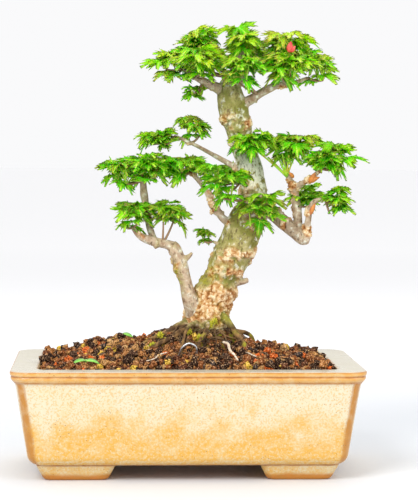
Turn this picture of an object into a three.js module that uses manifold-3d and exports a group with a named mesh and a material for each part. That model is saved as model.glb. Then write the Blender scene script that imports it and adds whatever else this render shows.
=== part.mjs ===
// A small-leaved maple trained as a bonsai, in a rectangular glazed stoneware pot on four feet.
// Millimetres, +Z up. The origin is at the centre of the pot's underside, +X runs along the pot's
// length and -Y is its front. The tree's routes are measured from the plane of the pot's rim.
import * as THREE from "three";
import { mergeVertices } from "three/addons/utils/BufferGeometryUtils.js";
import Module from "manifold-3d";

const wasm = await Module();
wasm.setup();

// Pot: driving sizes.
const POT_LENGTH = 317;
const POT_DEPTH = 200;
const POT_HEIGHT = 100;
const WALL_TAPER = 11.8; // how far each wall leans in from under the lip to its foot
const WALL_THICKNESS = 9;
const FLOOR_THICKNESS = 9;
const CORNER_RADIUS = 17;
const LIP_WIDTH = 25; // the flat top of the lip, from its outer to its inner edge
const LIP_HEIGHT = 10.5;
const LIP_OVERHANG = 4.5; // how far the lip stands out from the wall under it
const LIP_GROOVE = 0.9;
const FOOT_HEIGHT = 14;
const FOOT_LENGTH = 71;
const FOOT_DEPTH = 48;
const FOOT_BEVEL = 7; // how far each side of a foot leans in towards the floor
const FOOT_SETBACK = 6.5; // how far a foot's top stands in from the wall's line
const HEM_WIDTH = 8.2; // the wall's rounded lower edge
const HEM_HEIGHT = 9;
const HOLE_SPACING = 150;
const HOLE_RADIUS = 11;

// Drainage screens and the wire that anchors the root ball.
const SCREEN_SIZE = 38;
const SCREEN_THICKNESS = 1.2;
const SCREEN_OPENINGS = 5; // openings along each side
const SCREEN_BAR = 1.8;
const WIRE_RADIUS = 1;

// Soil: level at the wall and rise at the middle, both from the plane of the rim.
const SOIL_EDGE = -2.5;
const SOIL_RISE = 15.5;
const MOUND_HEIGHT = 21; // the root ball, over the dome
const MOUND_LENGTH = 84;
const MOUND_DEPTH = 64;
const MOUND_AT = 12; // its middle, along the pot

// Tree: overall sizes, and the sizes at which its routes below are drawn.
const TREE_HEIGHT = 309; // rim to the top of the crown
const TREE_SPREAD = 235; // left tip to right tip of the foliage
const DRAWN_HEIGHT = 309;
const DRAWN_SPREAD = 235;

const GAP = 0.3; // clearance between neighbouring pieces
const PAST = 5; // how far a cutting solid runs past the face that it cuts
const ARC_STEPS = 4; // flat faces round each corner of the pot
const SOIL_GRID = [24, 16];

const rise = TREE_HEIGHT / DRAWN_HEIGHT;
const spread = TREE_SPREAD / DRAWN_SPREAD;
const lipBottom = POT_HEIGHT - LIP_HEIGHT;
const floorTop = FOOT_HEIGHT + FLOOR_THICKNESS;

// ---------------------------------------------------------------- solids

// A manifold-3d solid from a closed three.js geometry.
function toSolid(geometry) {
  const bare = new THREE.BufferGeometry();
  bare.setAttribute("position", geometry.getAttribute("position"));
  bare.setIndex(geometry.index);
  const merged = mergeVertices(bare, 1e-4);
  return new wasm.Manifold(
    new wasm.Mesh({
      numProp: 3,
      vertProperties: merged.getAttribute("position").array,
      triVerts: new Uint32Array(merged.index.array),
    }),
  );
}

// A three.js geometry from a manifold-3d solid.
function toGeometry(solid) {
  const mesh = solid.getMesh();
  const geometry = new THREE.BufferGeometry();
  geometry.setAttribute("position", new THREE.BufferAttribute(mesh.vertProperties, 3));
  geometry.setIndex(new THREE.BufferAttribute(mesh.triVerts, 1));
  geometry.computeVertexNormals();
  return geometry;
}

// The largest body of a solid: a stem cut by a thicker one leaves crumbs on its far side.
function mainBody(solid) {
  const bodies = solid.decompose();
  return bodies.reduce((best, body) => (body.volume() > best.volume() ? body : best));
}

// Skins rings of equal length, counter-clockwise seen from the last ring, and closes both ends.
function loft(rings) {
  const sides = rings[0].length;
  const points = rings.flat();
  const faces = [];
  for (let i = 0; i < rings.length - 1; i++) {
    for (let j = 0; j < sides; j++) {
      const a = i * sides + j;
      const b = i * sides + ((j + 1) % sides);
      faces.push(a, b, b + sides, a, b + sides, a + sides);
    }
  }
  const first = points.length;
  for (const end of [rings[0], rings.at(-1)]) {
    const centre = new THREE.Vector3();
    end.forEach((point) => centre.addScaledVector(point, 1 / sides));
    points.push(centre);
  }
  const lastRing = (rings.length - 1) * sides;
  for (let j = 0; j < sides; j++) {
    const next = (j + 1) % sides;
    faces.push(first, next, j);
    faces.push(first + 1, lastRing + j, lastRing + next);
  }
  return new THREE.BufferGeometry().setFromPoints(points).setIndex(faces);
}

// ---------------------------------------------------------------- pot

// A rectangle with round corners at height z, shrunk by inset on every side.
function potRing(inset, z) {
  const halfLength = POT_LENGTH / 2 - inset;
  const halfDepth = POT_DEPTH / 2 - inset;
  const radius = Math.max(CORNER_RADIUS - inset * 0.3, 2);
  const ring = [];
  for (let corner = 0; corner < 4; corner++) {
    const sideX = corner === 0 || corner === 3 ? 1 : -1;
    const sideY = corner < 2 ? 1 : -1;
    for (let step = 0; step <= ARC_STEPS; step++) {
      const angle = (corner + step / ARC_STEPS) * (Math.PI / 2);
      const x = sideX * (halfLength - radius) + radius * Math.cos(angle);
      const y = sideY * (halfDepth - radius) + radius * Math.sin(angle);
      ring.push(new THREE.Vector3(x, y, z));
    }
  }
  return ring;
}

// How far the outside of the wall stands in from the lip's edge at height z.
function wallInset(z) {
  return LIP_OVERHANG + WALL_TAPER * ((lipBottom - z) / (lipBottom - FOOT_HEIGHT));
}

// The hollow that holds the soil, shrunk by clearance; the lip reaches in over its top.
function cavity(clearance, top) {
  const underLip = lipBottom - LIP_HEIGHT;
  return loft([
    potRing(wallInset(floorTop) + WALL_THICKNESS + clearance + 6, floorTop + clearance),
    potRing(wallInset(floorTop) + WALL_THICKNESS + clearance, floorTop + clearance + 6),
    potRing(wallInset(underLip) + WALL_THICKNESS + clearance, underLip),
    potRing(LIP_WIDTH + clearance, lipBottom + 2),
    potRing(LIP_WIDTH + clearance, top),
  ]);
}

function makeFoot(sideX, sideY) {
  const outer = wallInset(FOOT_HEIGHT) + FOOT_SETBACK;
  const farX = POT_LENGTH / 2 - outer;
  const farY = POT_DEPTH / 2 - outer;
  const box = new THREE.BoxGeometry(FOOT_LENGTH, FOOT_DEPTH, FOOT_HEIGHT + FLOOR_THICKNESS / 2);
  box.translate(0, 0, (FOOT_HEIGHT + FLOOR_THICKNESS / 2) / 2);
  const position = box.getAttribute("position");
  for (let i = 0; i < position.count; i++) {
    if (position.getZ(i) > 1) continue;
    position.setX(i, position.getX(i) - Math.sign(position.getX(i)) * FOOT_BEVEL);
    position.setY(i, position.getY(i) - Math.sign(position.getY(i)) * FOOT_BEVEL);
  }
  box.translate(sideX * (farX - FOOT_LENGTH / 2), sideY * (farY - FOOT_DEPTH / 2), 0);
  return toSolid(box);
}

function makePot() {
  const groove = lipBottom + LIP_HEIGHT * 0.55;
  const hem = [0, 0.25, 0.5, 0.75, 1].map((share) => {
    const angle = share * (Math.PI / 2);
    const z = FOOT_HEIGHT + HEM_HEIGHT * (1 - Math.cos(angle));
    return potRing(wallInset(z) + HEM_WIDTH * (1 - Math.sin(angle)), z);
  });
  const shell = loft([
    ...hem,
    potRing(wallInset(lipBottom - 3.5), lipBottom - 3.5),
    potRing(LIP_OVERHANG * 0.82, lipBottom - 0.6),
    potRing(LIP_OVERHANG * 0.55, lipBottom + 1),
    potRing(LIP_OVERHANG * 0.2, lipBottom + 3),
    potRing(0.5, groove - 0.8),
    potRing(LIP_GROOVE + 0.5, groove),
    potRing(0.2, groove + 0.9),
    potRing(0, POT_HEIGHT - 1.4),
    potRing(0.9, POT_HEIGHT),
  ]);
  let pot = toSolid(shell).subtract(toSolid(cavity(0, POT_HEIGHT + PAST)));
  for (const sideX of [-1, 1]) {
    for (const sideY of [-1, 1]) pot = pot.add(makeFoot(sideX, sideY));
    const drill = new THREE.CylinderGeometry(HOLE_RADIUS, HOLE_RADIUS, FLOOR_THICKNESS + 2 * PAST, 16);
    drill.rotateX(Math.PI / 2);
    drill.translate((sideX * HOLE_SPACING) / 2, 0, FOOT_HEIGHT + FLOOR_THICKNESS / 2);
    pot = pot.subtract(toSolid(drill));
  }
  return pot;
}

// ---------------------------------------------------------------- screens, wire and soil

function makeScreen(sideX) {
  const centreX = (sideX * HOLE_SPACING) / 2;
  const centreZ = floorTop + GAP + SCREEN_THICKNESS / 2;
  const pitch = (SCREEN_SIZE - SCREEN_BAR) / SCREEN_OPENINGS;
  const clear = pitch - SCREEN_BAR;
  const plate = new THREE.BoxGeometry(SCREEN_SIZE, SCREEN_SIZE, SCREEN_THICKNESS);
  let screen = toSolid(plate.translate(centreX, 0, centreZ));
  for (let row = 0; row < SCREEN_OPENINGS; row++) {
    for (let column = 0; column < SCREEN_OPENINGS; column++) {
      const x = centreX + (column - (SCREEN_OPENINGS - 1) / 2) * pitch;
      const y = (row - (SCREEN_OPENINGS - 1) / 2) * pitch;
      const opening = new THREE.BoxGeometry(clear, clear, SCREEN_THICKNESS + 2 * PAST);
      screen = screen.subtract(toSolid(opening.translate(x, y, centreZ)));
    }
  }
  return screen;
}

// The room that a screen takes under the soil.
function screenRoom(sideX) {
  const side = SCREEN_SIZE + 2 * GAP;
  const room = new THREE.BoxGeometry(side, side, SCREEN_THICKNESS + 2 * GAP);
  room.translate((sideX * HOLE_SPACING) / 2, 0, floorTop + GAP + SCREEN_THICKNESS / 2);
  return toSolid(room);
}

// The soil's surface: a low dome over the hollow, level with SOIL_EDGE at the lip, and the root ball.
function soilTop(x, y) {
  const u = Math.min(Math.abs(x) / (POT_LENGTH / 2 - LIP_WIDTH), 1);
  const v = Math.min(Math.abs(y) / (POT_DEPTH / 2 - LIP_WIDTH), 1);
  const away = Math.hypot((x - MOUND_AT) / (MOUND_LENGTH / 2), y / (MOUND_DEPTH / 2));
  const mound = MOUND_HEIGHT * Math.exp(-(away ** 3));
  return POT_HEIGHT + SOIL_EDGE + SOIL_RISE * (1 - u * u) * (1 - v * v) + mound;
}

// One round wire: up through the left-hand screen, out of the soil in a loop and back into it.
const WIRE_LOOP = [
  [-22, -40, -10],
  [-9, -49, 8],
  [-5, -53, 17],
  [1, -54, 21],
  [7, -53, 18],
  [8, -51, 11],
  [5, -49, 3],
];

function makeWire(radius, reach) {
  const holeX = -HOLE_SPACING / 2;
  const route = [
    new THREE.Vector3(holeX, 0, FOOT_HEIGHT + 1 - reach),
    new THREE.Vector3(holeX, 0, floorTop),
    new THREE.Vector3(holeX, 0, floorTop + 12),
    new THREE.Vector3(holeX + 20, -12, (floorTop + POT_HEIGHT) / 2),
    ...WIRE_LOOP.map(treePoint),
  ];
  route.at(-1).z -= reach;
  const section = new THREE.Shape();
  section.absarc(0, 0, radius, 0, 2 * Math.PI);
  const tube = new THREE.ExtrudeGeometry(section, {
    extrudePath: new THREE.CatmullRomCurve3(route),
    steps: 28,
    curveSegments: 4,
    bevelEnabled: false,
  });
  return toSolid(tube);
}

function makeSoil(buried) {
  const [columns, rows] = SOIL_GRID;
  const length = POT_LENGTH - LIP_WIDTH;
  const depth = POT_DEPTH - LIP_WIDTH;
  const block = new THREE.BoxGeometry(length, depth, POT_HEIGHT, columns, rows, 1);
  block.translate(0, 0, POT_HEIGHT / 2);
  const position = block.getAttribute("position");
  for (let i = 0; i < position.count; i++) {
    if (position.getZ(i) < 1) continue;
    position.setZ(i, soilTop(position.getX(i), position.getY(i)));
  }
  const hollow = cavity(GAP, POT_HEIGHT + SOIL_RISE + MOUND_HEIGHT + PAST);
  let soil = toSolid(block).intersect(toSolid(hollow));
  for (const solid of buried) soil = soil.subtract(solid);
  return mainBody(soil);
}

// ---------------------------------------------------------------- wood

// Each point is x, y, height over the rim, and the radius of the wood there.
const LIMBS = [
  {
    name: "trunk",
    sides: 10,
    route: [
      [19, 0, -12, 20],
      [18.5, 0, 12, 20.5],
      [18, 0, 26, 19.2],
      [18.5, 0, 37, 18.8],
      [21, 1, 47, 18.2],
      [25.5, 2, 59, 16.8],
      [31, 3, 73, 16.9],
      [39, 2, 90.5, 18],
      [47.5, 0, 109, 18.5],
      [55, -2, 126.5, 17.5],
      [61, -2, 142, 15.3],
      [62.5, 0, 156, 13],
      [60.5, 3, 170, 11.6],
      [57.5, 4, 184, 11.1],
      [52.5, 4, 198, 11.2],
      [49, 2, 212, 12.2],
      [45.5, 0, 225, 13.1],
      [41.5, -1, 240, 12.8],
      [40, 0, 251, 11.2],
      [41, 0, 260, 7.8],
    ],
    twigs: [[[42, 0, 71, 4], [53, -2, 73.5, 3], [58, -3, 75, 2.4]]],
  },
  {
    name: "second_trunk",
    sides: 10,
    route: [
      [17, -2, 33, 8.5],
      [8.5, -6, 44, 7.8],
      [3.5, -9, 57, 6.8],
      [-0.5, -10, 73, 6.2],
      [-4.5, -10, 87, 6.3],
      [-9.5, -8, 101, 6.3],
      [-14, -6, 108, 5.6],
    ],
    twigs: [[[-1, -10, 95, 3], [3, -13, 98, 2], [5, -14, 101, 1.4]]],
  },
  {
    name: "branch_left_low",
    sides: 8,
    route: [
      [-12.5, -6, 106, 4.8],
      [-20, -8, 108.5, 4.2],
      [-30, -10, 111, 4],
      [-39, -12, 114, 3.7],
      [-45, -12, 118, 2.9],
      [-50, -12, 124, 1.8],
    ],
  },
  {
    name: "branch_left_riser",
    sides: 8,
    route: [
      [-29, -8, 110, 3.3],
      [-34, 0, 124, 3.3],
      [-36.5, 4, 139, 3.3],
      [-39, 2, 154, 3.5],
      [-40, 0, 165, 3],
      [-42, 0, 177, 1.9],
    ],
  },
  {
    name: "branch_left_middle",
    sides: 8,
    route: [
      [48, 0, 122, 4.4],
      [34, -6, 132, 3.7],
      [26, -8, 144, 3.2],
      [19.5, -8, 154.5, 2.8],
      [13, -6, 165, 2.4],
      [3, -5, 175, 2],
    ],
    twigs: [[[34, -6, 132, 2.4], [28, -9, 136, 1.8], [22, -12, 139, 1.2]]],
  },
  {
    name: "branch_left_upper",
    sides: 8,
    route: [
      [57, 0, 173, 3.4],
      [37.5, 4, 184, 2.6],
      [21, 4, 193, 2.1],
      [9.5, 0, 199, 1.9],
      [1, 0, 203, 1.9],
      [-10, 0, 208, 1.5],
    ],
  },
  {
    name: "branch_right",
    sides: 10,
    route: [
      [60.5, 0, 142, 8.3],
      [75, -6, 140.5, 6.9],
      [87, -12, 131, 6.4],
      [98, -16, 121, 6.4],
      [107, -18, 115.5, 6.8],
      [113, -18, 114.5, 4.6],
    ],
  },
  {
    name: "branch_right_inner",
    sides: 8,
    route: [
      [103, -17, 118, 4.2],
      [102.5, -14, 134, 4],
      [101, -12, 148, 4],
      [99, -10, 159, 4.2],
      [95.5, -10, 167, 3.2],
      [92.5, -9, 176, 2.4],
      [91, -8, 188, 1.8],
    ],
  },
  {
    name: "branch_right_twig",
    sides: 8,
    route: [
      [99, -10, 160, 3],
      [106, -16, 165, 2.6],
      [114, -23, 170, 2.4],
      [122, -30, 179, 1.8],
    ],
  },
  {
    name: "branch_right_outer",
    sides: 8,
    route: [
      [109, -19, 117, 3.9],
      [111, -24, 131, 3.2],
      [112.5, -26, 142, 2.7],
      [117, -28, 149, 2.4],
      [126, -31, 151, 1.8],
    ],
  },
  {
    name: "branch_front",
    sides: 8,
    route: [
      [57, 0, 134, 6.5],
      [56.5, -18, 138, 4.6],
      [56, -32, 143, 3.6],
      [53, -44, 150, 2.3],
    ],
  },
  {
    name: "branch_back",
    sides: 8,
    route: [
      [60, 0, 149, 6],
      [58, 18, 154, 4.2],
      [55, 30, 161, 3.2],
      [54, 40, 168, 2.2],
    ],
  },
  {
    name: "branch_crown_left",
    sides: 8,
    route: [
      [40, 0, 247, 6.5],
      [27, -4, 253, 5],
      [16.5, -8, 257.5, 4.2],
      [6.5, -10, 263, 3.3],
      [-4, -10, 270, 1.8],
    ],
  },
  {
    name: "branch_crown_right",
    sides: 8,
    route: [
      [44, 0, 234, 5.6],
      [57.5, -4, 241, 4.6],
      [70, -8, 249, 4.1],
      [83, -10, 255, 3.1],
      [98, -12, 257.5, 2.2],
      [111, -12, 262, 1.7],
    ],
  },
  {
    name: "branch_crown_leader",
    sides: 8,
    route: [
      [41, 0, 256, 7.4],
      [46, 4, 269, 5.6],
      [50, 6, 281, 4.1],
      [52, 6, 291, 2.2],
    ],
  },
  {
    name: "branch_crown_back",
    sides: 8,
    route: [
      [42, 0, 248.5, 6],
      [48.5, 16, 258.5, 4.7],
      [56, 30, 268.5, 3.8],
      [61, 42, 277, 2.3],
    ],
  },
];

const ROOTS = [
  {
    name: "root_left",
    route: [
      [6, -4, 34, 6.5],
      [-6.5, -8, 32, 4.2],
      [-16, -12, 27, 2.8],
      [-27, -14, 23, 2.2],
      [-38, -16, 18, 1.9],
      [-47, -18, 11.5, 1.6],
      [-54, -19, 4, 1.4],
    ],
  },
  {
    name: "root_left_front",
    route: [
      [8, -10, 30, 5.5],
      [-5, -20, 28, 3.3],
      [-16, -26, 22.5, 2.6],
      [-27, -30, 17.5, 2.2],
      [-36, -33, 11.5, 1.8],
      [-43, -35, 4, 1.5],
    ],
  },
  {
    name: "root_right",
    route: [
      [26, -5, 44, 5.5],
      [35, -12, 41, 4.2],
      [41, -16, 34, 3.3],
      [47, -20, 25, 3],
      [53, -24, 16, 2.9],
      [59, -28, 8.5, 2.4],
      [64, -31, 1, 2],
    ],
  },
  {
    name: "root_right_back",
    route: [
      [26, 5, 33, 6.5],
      [41, 12, 27, 3.7],
      [50, 14, 20.5, 3],
      [60, 16, 12, 2.4],
      [69, 18, 3, 1.9],
    ],
  },
  {
    name: "root_hook",
    route: [
      [41, 12, 27, 2.6],
      [50, 19, 25, 2.4],
      [58, 20, 23.5, 2.2],
      [63, 18, 20, 2],
      [66, 15, 11, 1.6],
      [66, 14, 2, 1.3],
    ],
  },
  {
    name: "root_front_left",
    route: [
      [12, -12, 33, 3.4],
      [5, -25, 36, 2.2],
      [0, -34, 32, 1.9],
      [-3, -40, 25, 1.6],
      [-5, -43, 16, 1.4],
      [-6, -45, 4, 1.2],
    ],
  },
  {
    name: "root_front",
    route: [
      [20, -13, 36, 3.4],
      [19, -27, 34, 2],
      [16, -34, 28.5, 1.7],
      [11.5, -38, 22, 1.6],
      [9, -41, 14, 1.4],
      [8, -42, 3, 1.3],
    ],
  },
  {
    name: "root_back_left",
    route: [
      [12, 8, 33, 7],
      [2, 20, 28, 4.5],
      [-8, 30, 21, 3.2],
      [-18, 38, 12, 2.4],
      [-26, 44, 1, 1.8],
    ],
  },
  {
    name: "root_back_right",
    route: [
      [24, 9, 32, 6],
      [32, 24, 27, 4],
      [38, 36, 19, 3],
      [42, 46, 9, 2.2],
      [45, 54, -1, 1.7],
    ],
  },
];
const ROOT_SIDES = 7;

function treePoint([x, y, z]) {
  return new THREE.Vector3(x * spread, y * spread, POT_HEIGHT + z * rise);
}

// A round stem whose radius follows its route, thicker and longer by grow all over.
function stem(route, sides, grow) {
  const curve = new THREE.CatmullRomCurve3(route.map(treePoint));
  const spans = route.length - 1;
  const rings = [];
  let normal = new THREE.Vector3(0, 1, 0);
  for (let i = 0; i <= spans * 2; i++) {
    const t = i / (spans * 2);
    const span = Math.min(Math.floor(i / 2), spans - 1);
    const share = t * spans - span;
    const radius = grow + route[span][3] * (1 - share) + route[span + 1][3] * share;
    const tangent = curve.getTangent(t);
    const centre = curve.getPoint(t);
    if (i === 0) centre.addScaledVector(tangent, -grow);
    if (i === spans * 2) centre.addScaledVector(tangent, grow);
    if (i === 0 && Math.abs(tangent.y) > 0.9) normal.set(1, 0, 0);
    normal = normal.clone().addScaledVector(tangent, -normal.dot(tangent)).normalize();
    const across = new THREE.Vector3().crossVectors(tangent, normal);
    const ring = [];
    for (let j = 0; j < sides; j++) {
      const angle = (j / sides) * 2 * Math.PI;
      const point = centre.clone().addScaledVector(normal, radius * Math.cos(angle));
      ring.push(point.addScaledVector(across, radius * Math.sin(angle)));
    }
    rings.push(ring);
  }
  return toSolid(loft(rings));
}

// A limb with the twigs that grow on it, in one piece.
function limbSolid(limb, grow) {
  let solid = stem(limb.route, limb.sides ?? ROOT_SIDES, grow);
  for (const twig of limb.twigs ?? []) solid = solid.add(stem(twig, ROOT_SIDES, grow));
  return solid;
}

// ---------------------------------------------------------------- foliage

// Each pad of leaves is one shoot's cluster: its centre and its half-sizes along x, y and z.
const PADS = [
  ["leaves_crown_far_left", [-13, -4, 271], [24, 25, 18]],
  ["leaves_crown_front_left", [11, -32, 270], [27, 26, 20]],
  ["leaves_crown_top_left", [15, 0, 293], [26, 26, 15]],
  ["leaves_crown_back_left", [16, 36, 278], [28, 26, 19]],
  ["leaves_crown_front", [48, -38, 264], [27, 25, 21]],
  ["leaves_crown_top", [50, 0, 296], [28, 28, 13]],
  ["leaves_crown_back", [58, 42, 280], [29, 26, 20]],
  ["leaves_crown_front_right", [88, -32, 268], [28, 25, 21]],
  ["leaves_crown_top_right", [89, 2, 291], [27, 26, 15]],
  ["leaves_crown_back_right", [98, 36, 276], [28, 25, 19]],
  ["leaves_crown_far_right", [121, -6, 268], [22, 26, 20]],
  ["leaves_crown_low_left", [6, -6, 247], [11, 11, 11]],
  ["leaves_upper_left_tip", [-25, -4, 203], [22, 18, 13]],
  ["leaves_upper_left", [6, 0, 214], [20, 18, 16]],
  ["leaves_left_tip", [-60, -4, 171], [22, 24, 21]],
  ["leaves_left_front", [-34, -20, 176], [25, 22, 19]],
  ["leaves_left_back", [-36, 20, 176], [25, 24, 18]],
  ["leaves_left_inner", [-3, -6, 178], [25, 24, 15]],
  ["leaves_low_left_tip", [-47, -8, 132], [23, 24, 20]],
  ["leaves_low_left", [-18, -14, 133], [22, 22, 17]],
  ["leaves_front", [33, -40, 160], [26, 20, 25]],
  ["leaves_front_low", [64, -42, 138], [27, 20, 24]],
  ["leaves_right_inner", [60, -24, 199], [28, 21, 14]],
  ["leaves_right_top", [95, -8, 196], [26, 26, 16]],
  ["leaves_right_tip", [129, -34, 184], [25, 25, 20]],
  ["leaves_right_low", [112, -4, 150], [18, 21, 15]],
  ["leaves_right_low_tip", [135, -38, 145], [18, 21, 18]],
  ["leaves_back", [43, 44, 167], [26, 25, 20]],
  ["leaves_trunk_sprout", [18, -4, 116], [10, 8, 9]],
];

// The pad's half-size in a direction, which is the distance to its tangent plane.
function reachAlong(halfSizes, direction) {
  return halfSizes.clone().multiply(direction).length();
}

// Rounded pads, each trimmed by a plane half-way to every neighbour that it would run into.
function makePads() {
  const pads = PADS.map(([name, centre, size]) => ({
    name,
    centre: treePoint(centre),
    size: new THREE.Vector3(size[0] * spread, size[1] * spread, size[2] * rise),
  }));
  return pads.map((pad) => {
    const ball = new THREE.IcosahedronGeometry(1, 1);
    ball.scale(pad.size.x, pad.size.y, pad.size.z);
    ball.translate(pad.centre.x, pad.centre.y, pad.centre.z);
    let solid = toSolid(ball);
    for (const other of pads) {
      if (other === pad) continue;
      const away = other.centre.clone().sub(pad.centre);
      const distance = away.length();
      away.normalize();
      const own = reachAlong(pad.size, away);
      const theirs = reachAlong(other.size, away);
      if (own + theirs + GAP < distance) continue;
      const cutAt = (distance * own) / (own + theirs) - GAP / 2;
      const level = pad.centre.dot(away) + cutAt;
      solid = solid.trimByPlane([-away.x, -away.y, -away.z], -level);
    }
    return { name: pad.name, solid };
  });
}

// A seedling at the pot's edge: a short stalk with two seed leaves, in one piece.
const SEEDLING_AT = [-92, -64];
const SEEDLING_LEAF = [8, 4.5, 1.4];

function makeSeedling(grow) {
  const [x, y] = SEEDLING_AT;
  const ground = soilTop(x, y);
  const stalk = new THREE.CylinderGeometry(0.9 + grow, 0.9 + grow, 12 + 2 * grow, 6);
  stalk.rotateX(Math.PI / 2);
  stalk.translate(x, y, ground);
  let plant = toSolid(stalk);
  for (const side of [-1, 1]) {
    const leaf = new THREE.IcosahedronGeometry(1, 1);
    leaf.scale(...SEEDLING_LEAF.map((half) => half + grow));
    leaf.rotateY(side * -0.2);
    leaf.translate(x + side * (SEEDLING_LEAF[0] - 1), y, ground + 6);
    plant = plant.add(toSolid(leaf));
  }
  return plant;
}

// ---------------------------------------------------------------- assembly

const FINISHES = {
  glaze: { color: 0xf2deb0, roughness: 0.25, metalness: 0 },
  plastic: { color: 0x2b2f2c, roughness: 0.6, metalness: 0 },
  metal: { color: 0xb9bcc0, roughness: 0.3, metalness: 1 },
  earth: { color: 0x6b4030, roughness: 0.95, metalness: 0 },
  bark: { color: 0x9a8a6c, roughness: 0.85, metalness: 0 },
  root: { color: 0x77553a, roughness: 0.85, metalness: 0 },
  leaf: { color: 0x5fae2a, roughness: 0.5, metalness: 0 },
};

const bonsai = new THREE.Group();

function addPiece(name, solid, finish) {
  const mesh = new THREE.Mesh(toGeometry(solid), new THREE.MeshStandardMaterial(FINISHES[finish]));
  mesh.name = name;
  bonsai.add(mesh);
}

addPiece("pot", makePot(), "glaze");
addPiece("drain_screen_left", makeScreen(-1), "plastic");
addPiece("drain_screen_right", makeScreen(1), "plastic");
addPiece("anchor_wire", makeWire(WIRE_RADIUS, 0), "metal");

// Every limb is cut clear of the ones made before it, so the trunk stays whole.
const wood = [];
const grownWood = [];
for (const limb of [...LIMBS, ...ROOTS]) {
  let solid = limbSolid(limb, 0);
  for (const earlier of grownWood) solid = solid.subtract(earlier);
  wood.push({ name: limb.name, solid: mainBody(solid) });
  grownWood.push(limbSolid(limb, GAP));
}
for (const { name, solid } of wood) addPiece(name, solid, name.startsWith("root") ? "root" : "bark");

const buried = [
  ...grownWood,
  makeWire(WIRE_RADIUS + GAP, GAP),
  screenRoom(-1),
  screenRoom(1),
  makeSeedling(GAP),
];
addPiece("soil", makeSoil(buried), "earth");
addPiece("seedling", makeSeedling(0), "leaf");

for (const { name, solid } of makePads()) {
  let pad = solid;
  for (const limb of grownWood) pad = pad.subtract(limb);
  addPiece(name, mainBody(pad), "leaf");
}

export default bonsai;
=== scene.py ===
"""A small-leaved maple bonsai in a glazed stoneware pot, dressed around its CAD frame.

Metres, +Z up. The origin is the centre of the pot's underside, +X runs along the pot and -Y is the front.
Routes of wood are written in millimetres from the plane of the pot's rim.
"""
import itertools
import logging
import math
from dataclasses import dataclass, field
from enum import Enum

import bpy
import numpy as np
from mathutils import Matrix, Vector
from numpy.typing import NDArray


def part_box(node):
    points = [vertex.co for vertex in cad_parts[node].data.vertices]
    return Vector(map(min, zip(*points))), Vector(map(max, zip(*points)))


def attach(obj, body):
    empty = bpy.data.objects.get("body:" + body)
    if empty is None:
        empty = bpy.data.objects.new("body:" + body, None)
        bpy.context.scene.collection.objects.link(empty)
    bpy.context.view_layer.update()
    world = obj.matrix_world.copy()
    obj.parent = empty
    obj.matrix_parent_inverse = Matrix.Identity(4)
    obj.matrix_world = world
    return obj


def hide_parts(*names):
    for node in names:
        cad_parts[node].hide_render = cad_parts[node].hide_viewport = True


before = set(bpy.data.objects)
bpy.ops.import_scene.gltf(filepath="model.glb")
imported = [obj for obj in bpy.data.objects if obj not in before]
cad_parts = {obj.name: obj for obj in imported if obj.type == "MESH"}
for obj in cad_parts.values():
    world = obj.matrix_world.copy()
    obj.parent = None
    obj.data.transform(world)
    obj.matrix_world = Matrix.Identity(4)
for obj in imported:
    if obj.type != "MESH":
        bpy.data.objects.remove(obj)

Array = NDArray[np.float64]
Index = NDArray[np.int64]
Colour = tuple[float, float, float]
Route = tuple[tuple[float, float, float, float], ...]

MM = 0.001
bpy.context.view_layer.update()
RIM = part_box("pot")[1].z
GOLDEN_ANGLE = math.pi * (3 - math.sqrt(5))
log = logging.getLogger("bonsai")


# ------------------------------------------------------------------ arrays and meshes


def unit(vectors: Array) -> Array:
    """Each vector divided by its own length."""
    return vectors / np.maximum(np.linalg.norm(vectors, axis=-1, keepdims=True), 1e-12)


def lattice_noise(points: Array, cell: float, seed: int) -> Array:
    """Smooth value noise: random heights on a cubic lattice, blended by 3f^2 - 2f^3 inside each cell.

    Args:
        points: (n, 3) places.
        cell: the lattice's spacing.
        seed: which lattice of random heights.

    Returns:
        (n,) values from -1 to 1.
    """
    scaled = points / cell
    base = np.floor(scaled).astype(np.int64)
    blend = scaled - base
    blend = blend * blend * (3 - 2 * blend)
    total = np.zeros(len(points))
    for corner in itertools.product((0, 1), repeat=3):
        at = base + np.array(corner)
        mixed = (at[:, 0] * 73856093) ^ (at[:, 1] * 19349663) ^ (at[:, 2] * 83492791) ^ (seed * 2654435)
        mixed = (mixed ^ (mixed >> 13)) * 1274126177 & 0xFFFFFFFF
        height = ((mixed ^ (mixed >> 16)) & 0xFFFF) / 0x7FFF - 1
        total += height * np.prod(np.where(np.array(corner) == 1, blend, 1 - blend), axis=1)
    return total


def fractal_noise(points: Array, cell: float, octaves: int, seed: int) -> Array:
    """A sum of lattice noises, each with half the cell and half the height of the one before."""
    layers = [lattice_noise(points, cell / 2**k, seed + k) / 2**k for k in range(octaves)]
    return np.sum(layers, axis=0)


def spline(points: Array, samples: int) -> Array:
    """Catmull-Rom curve through the points, in any number of columns.

    Between p1 and p2 it is half of 2 p1 + (p2 - p0) u + (2 p0 - 5 p1 + 4 p2 - p3) u^2
    + (3 p1 - p0 - 3 p2 + p3) u^3, with the end points mirrored outwards.

    Args:
        points: (n, m) places, and any other columns.
        samples: rows of the result.

    Returns:
        (samples, m) rows along the curve.
    """
    padded = np.concatenate([2 * points[:1] - points[1:2], points, 2 * points[-1:] - points[-2:-1]])
    along = np.linspace(0, len(points) - 1, samples)
    span = np.minimum(along.astype(int), len(points) - 2)
    u = (along - span)[:, None]
    p0, p1, p2, p3 = (padded[span + k] for k in range(4))
    cubic = (3 * p1 - p0 - 3 * p2 + p3) * u**3
    return 0.5 * (2 * p1 + (p2 - p0) * u + (2 * p0 - 5 * p1 + 4 * p2 - p3) * u**2 + cubic)


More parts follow.
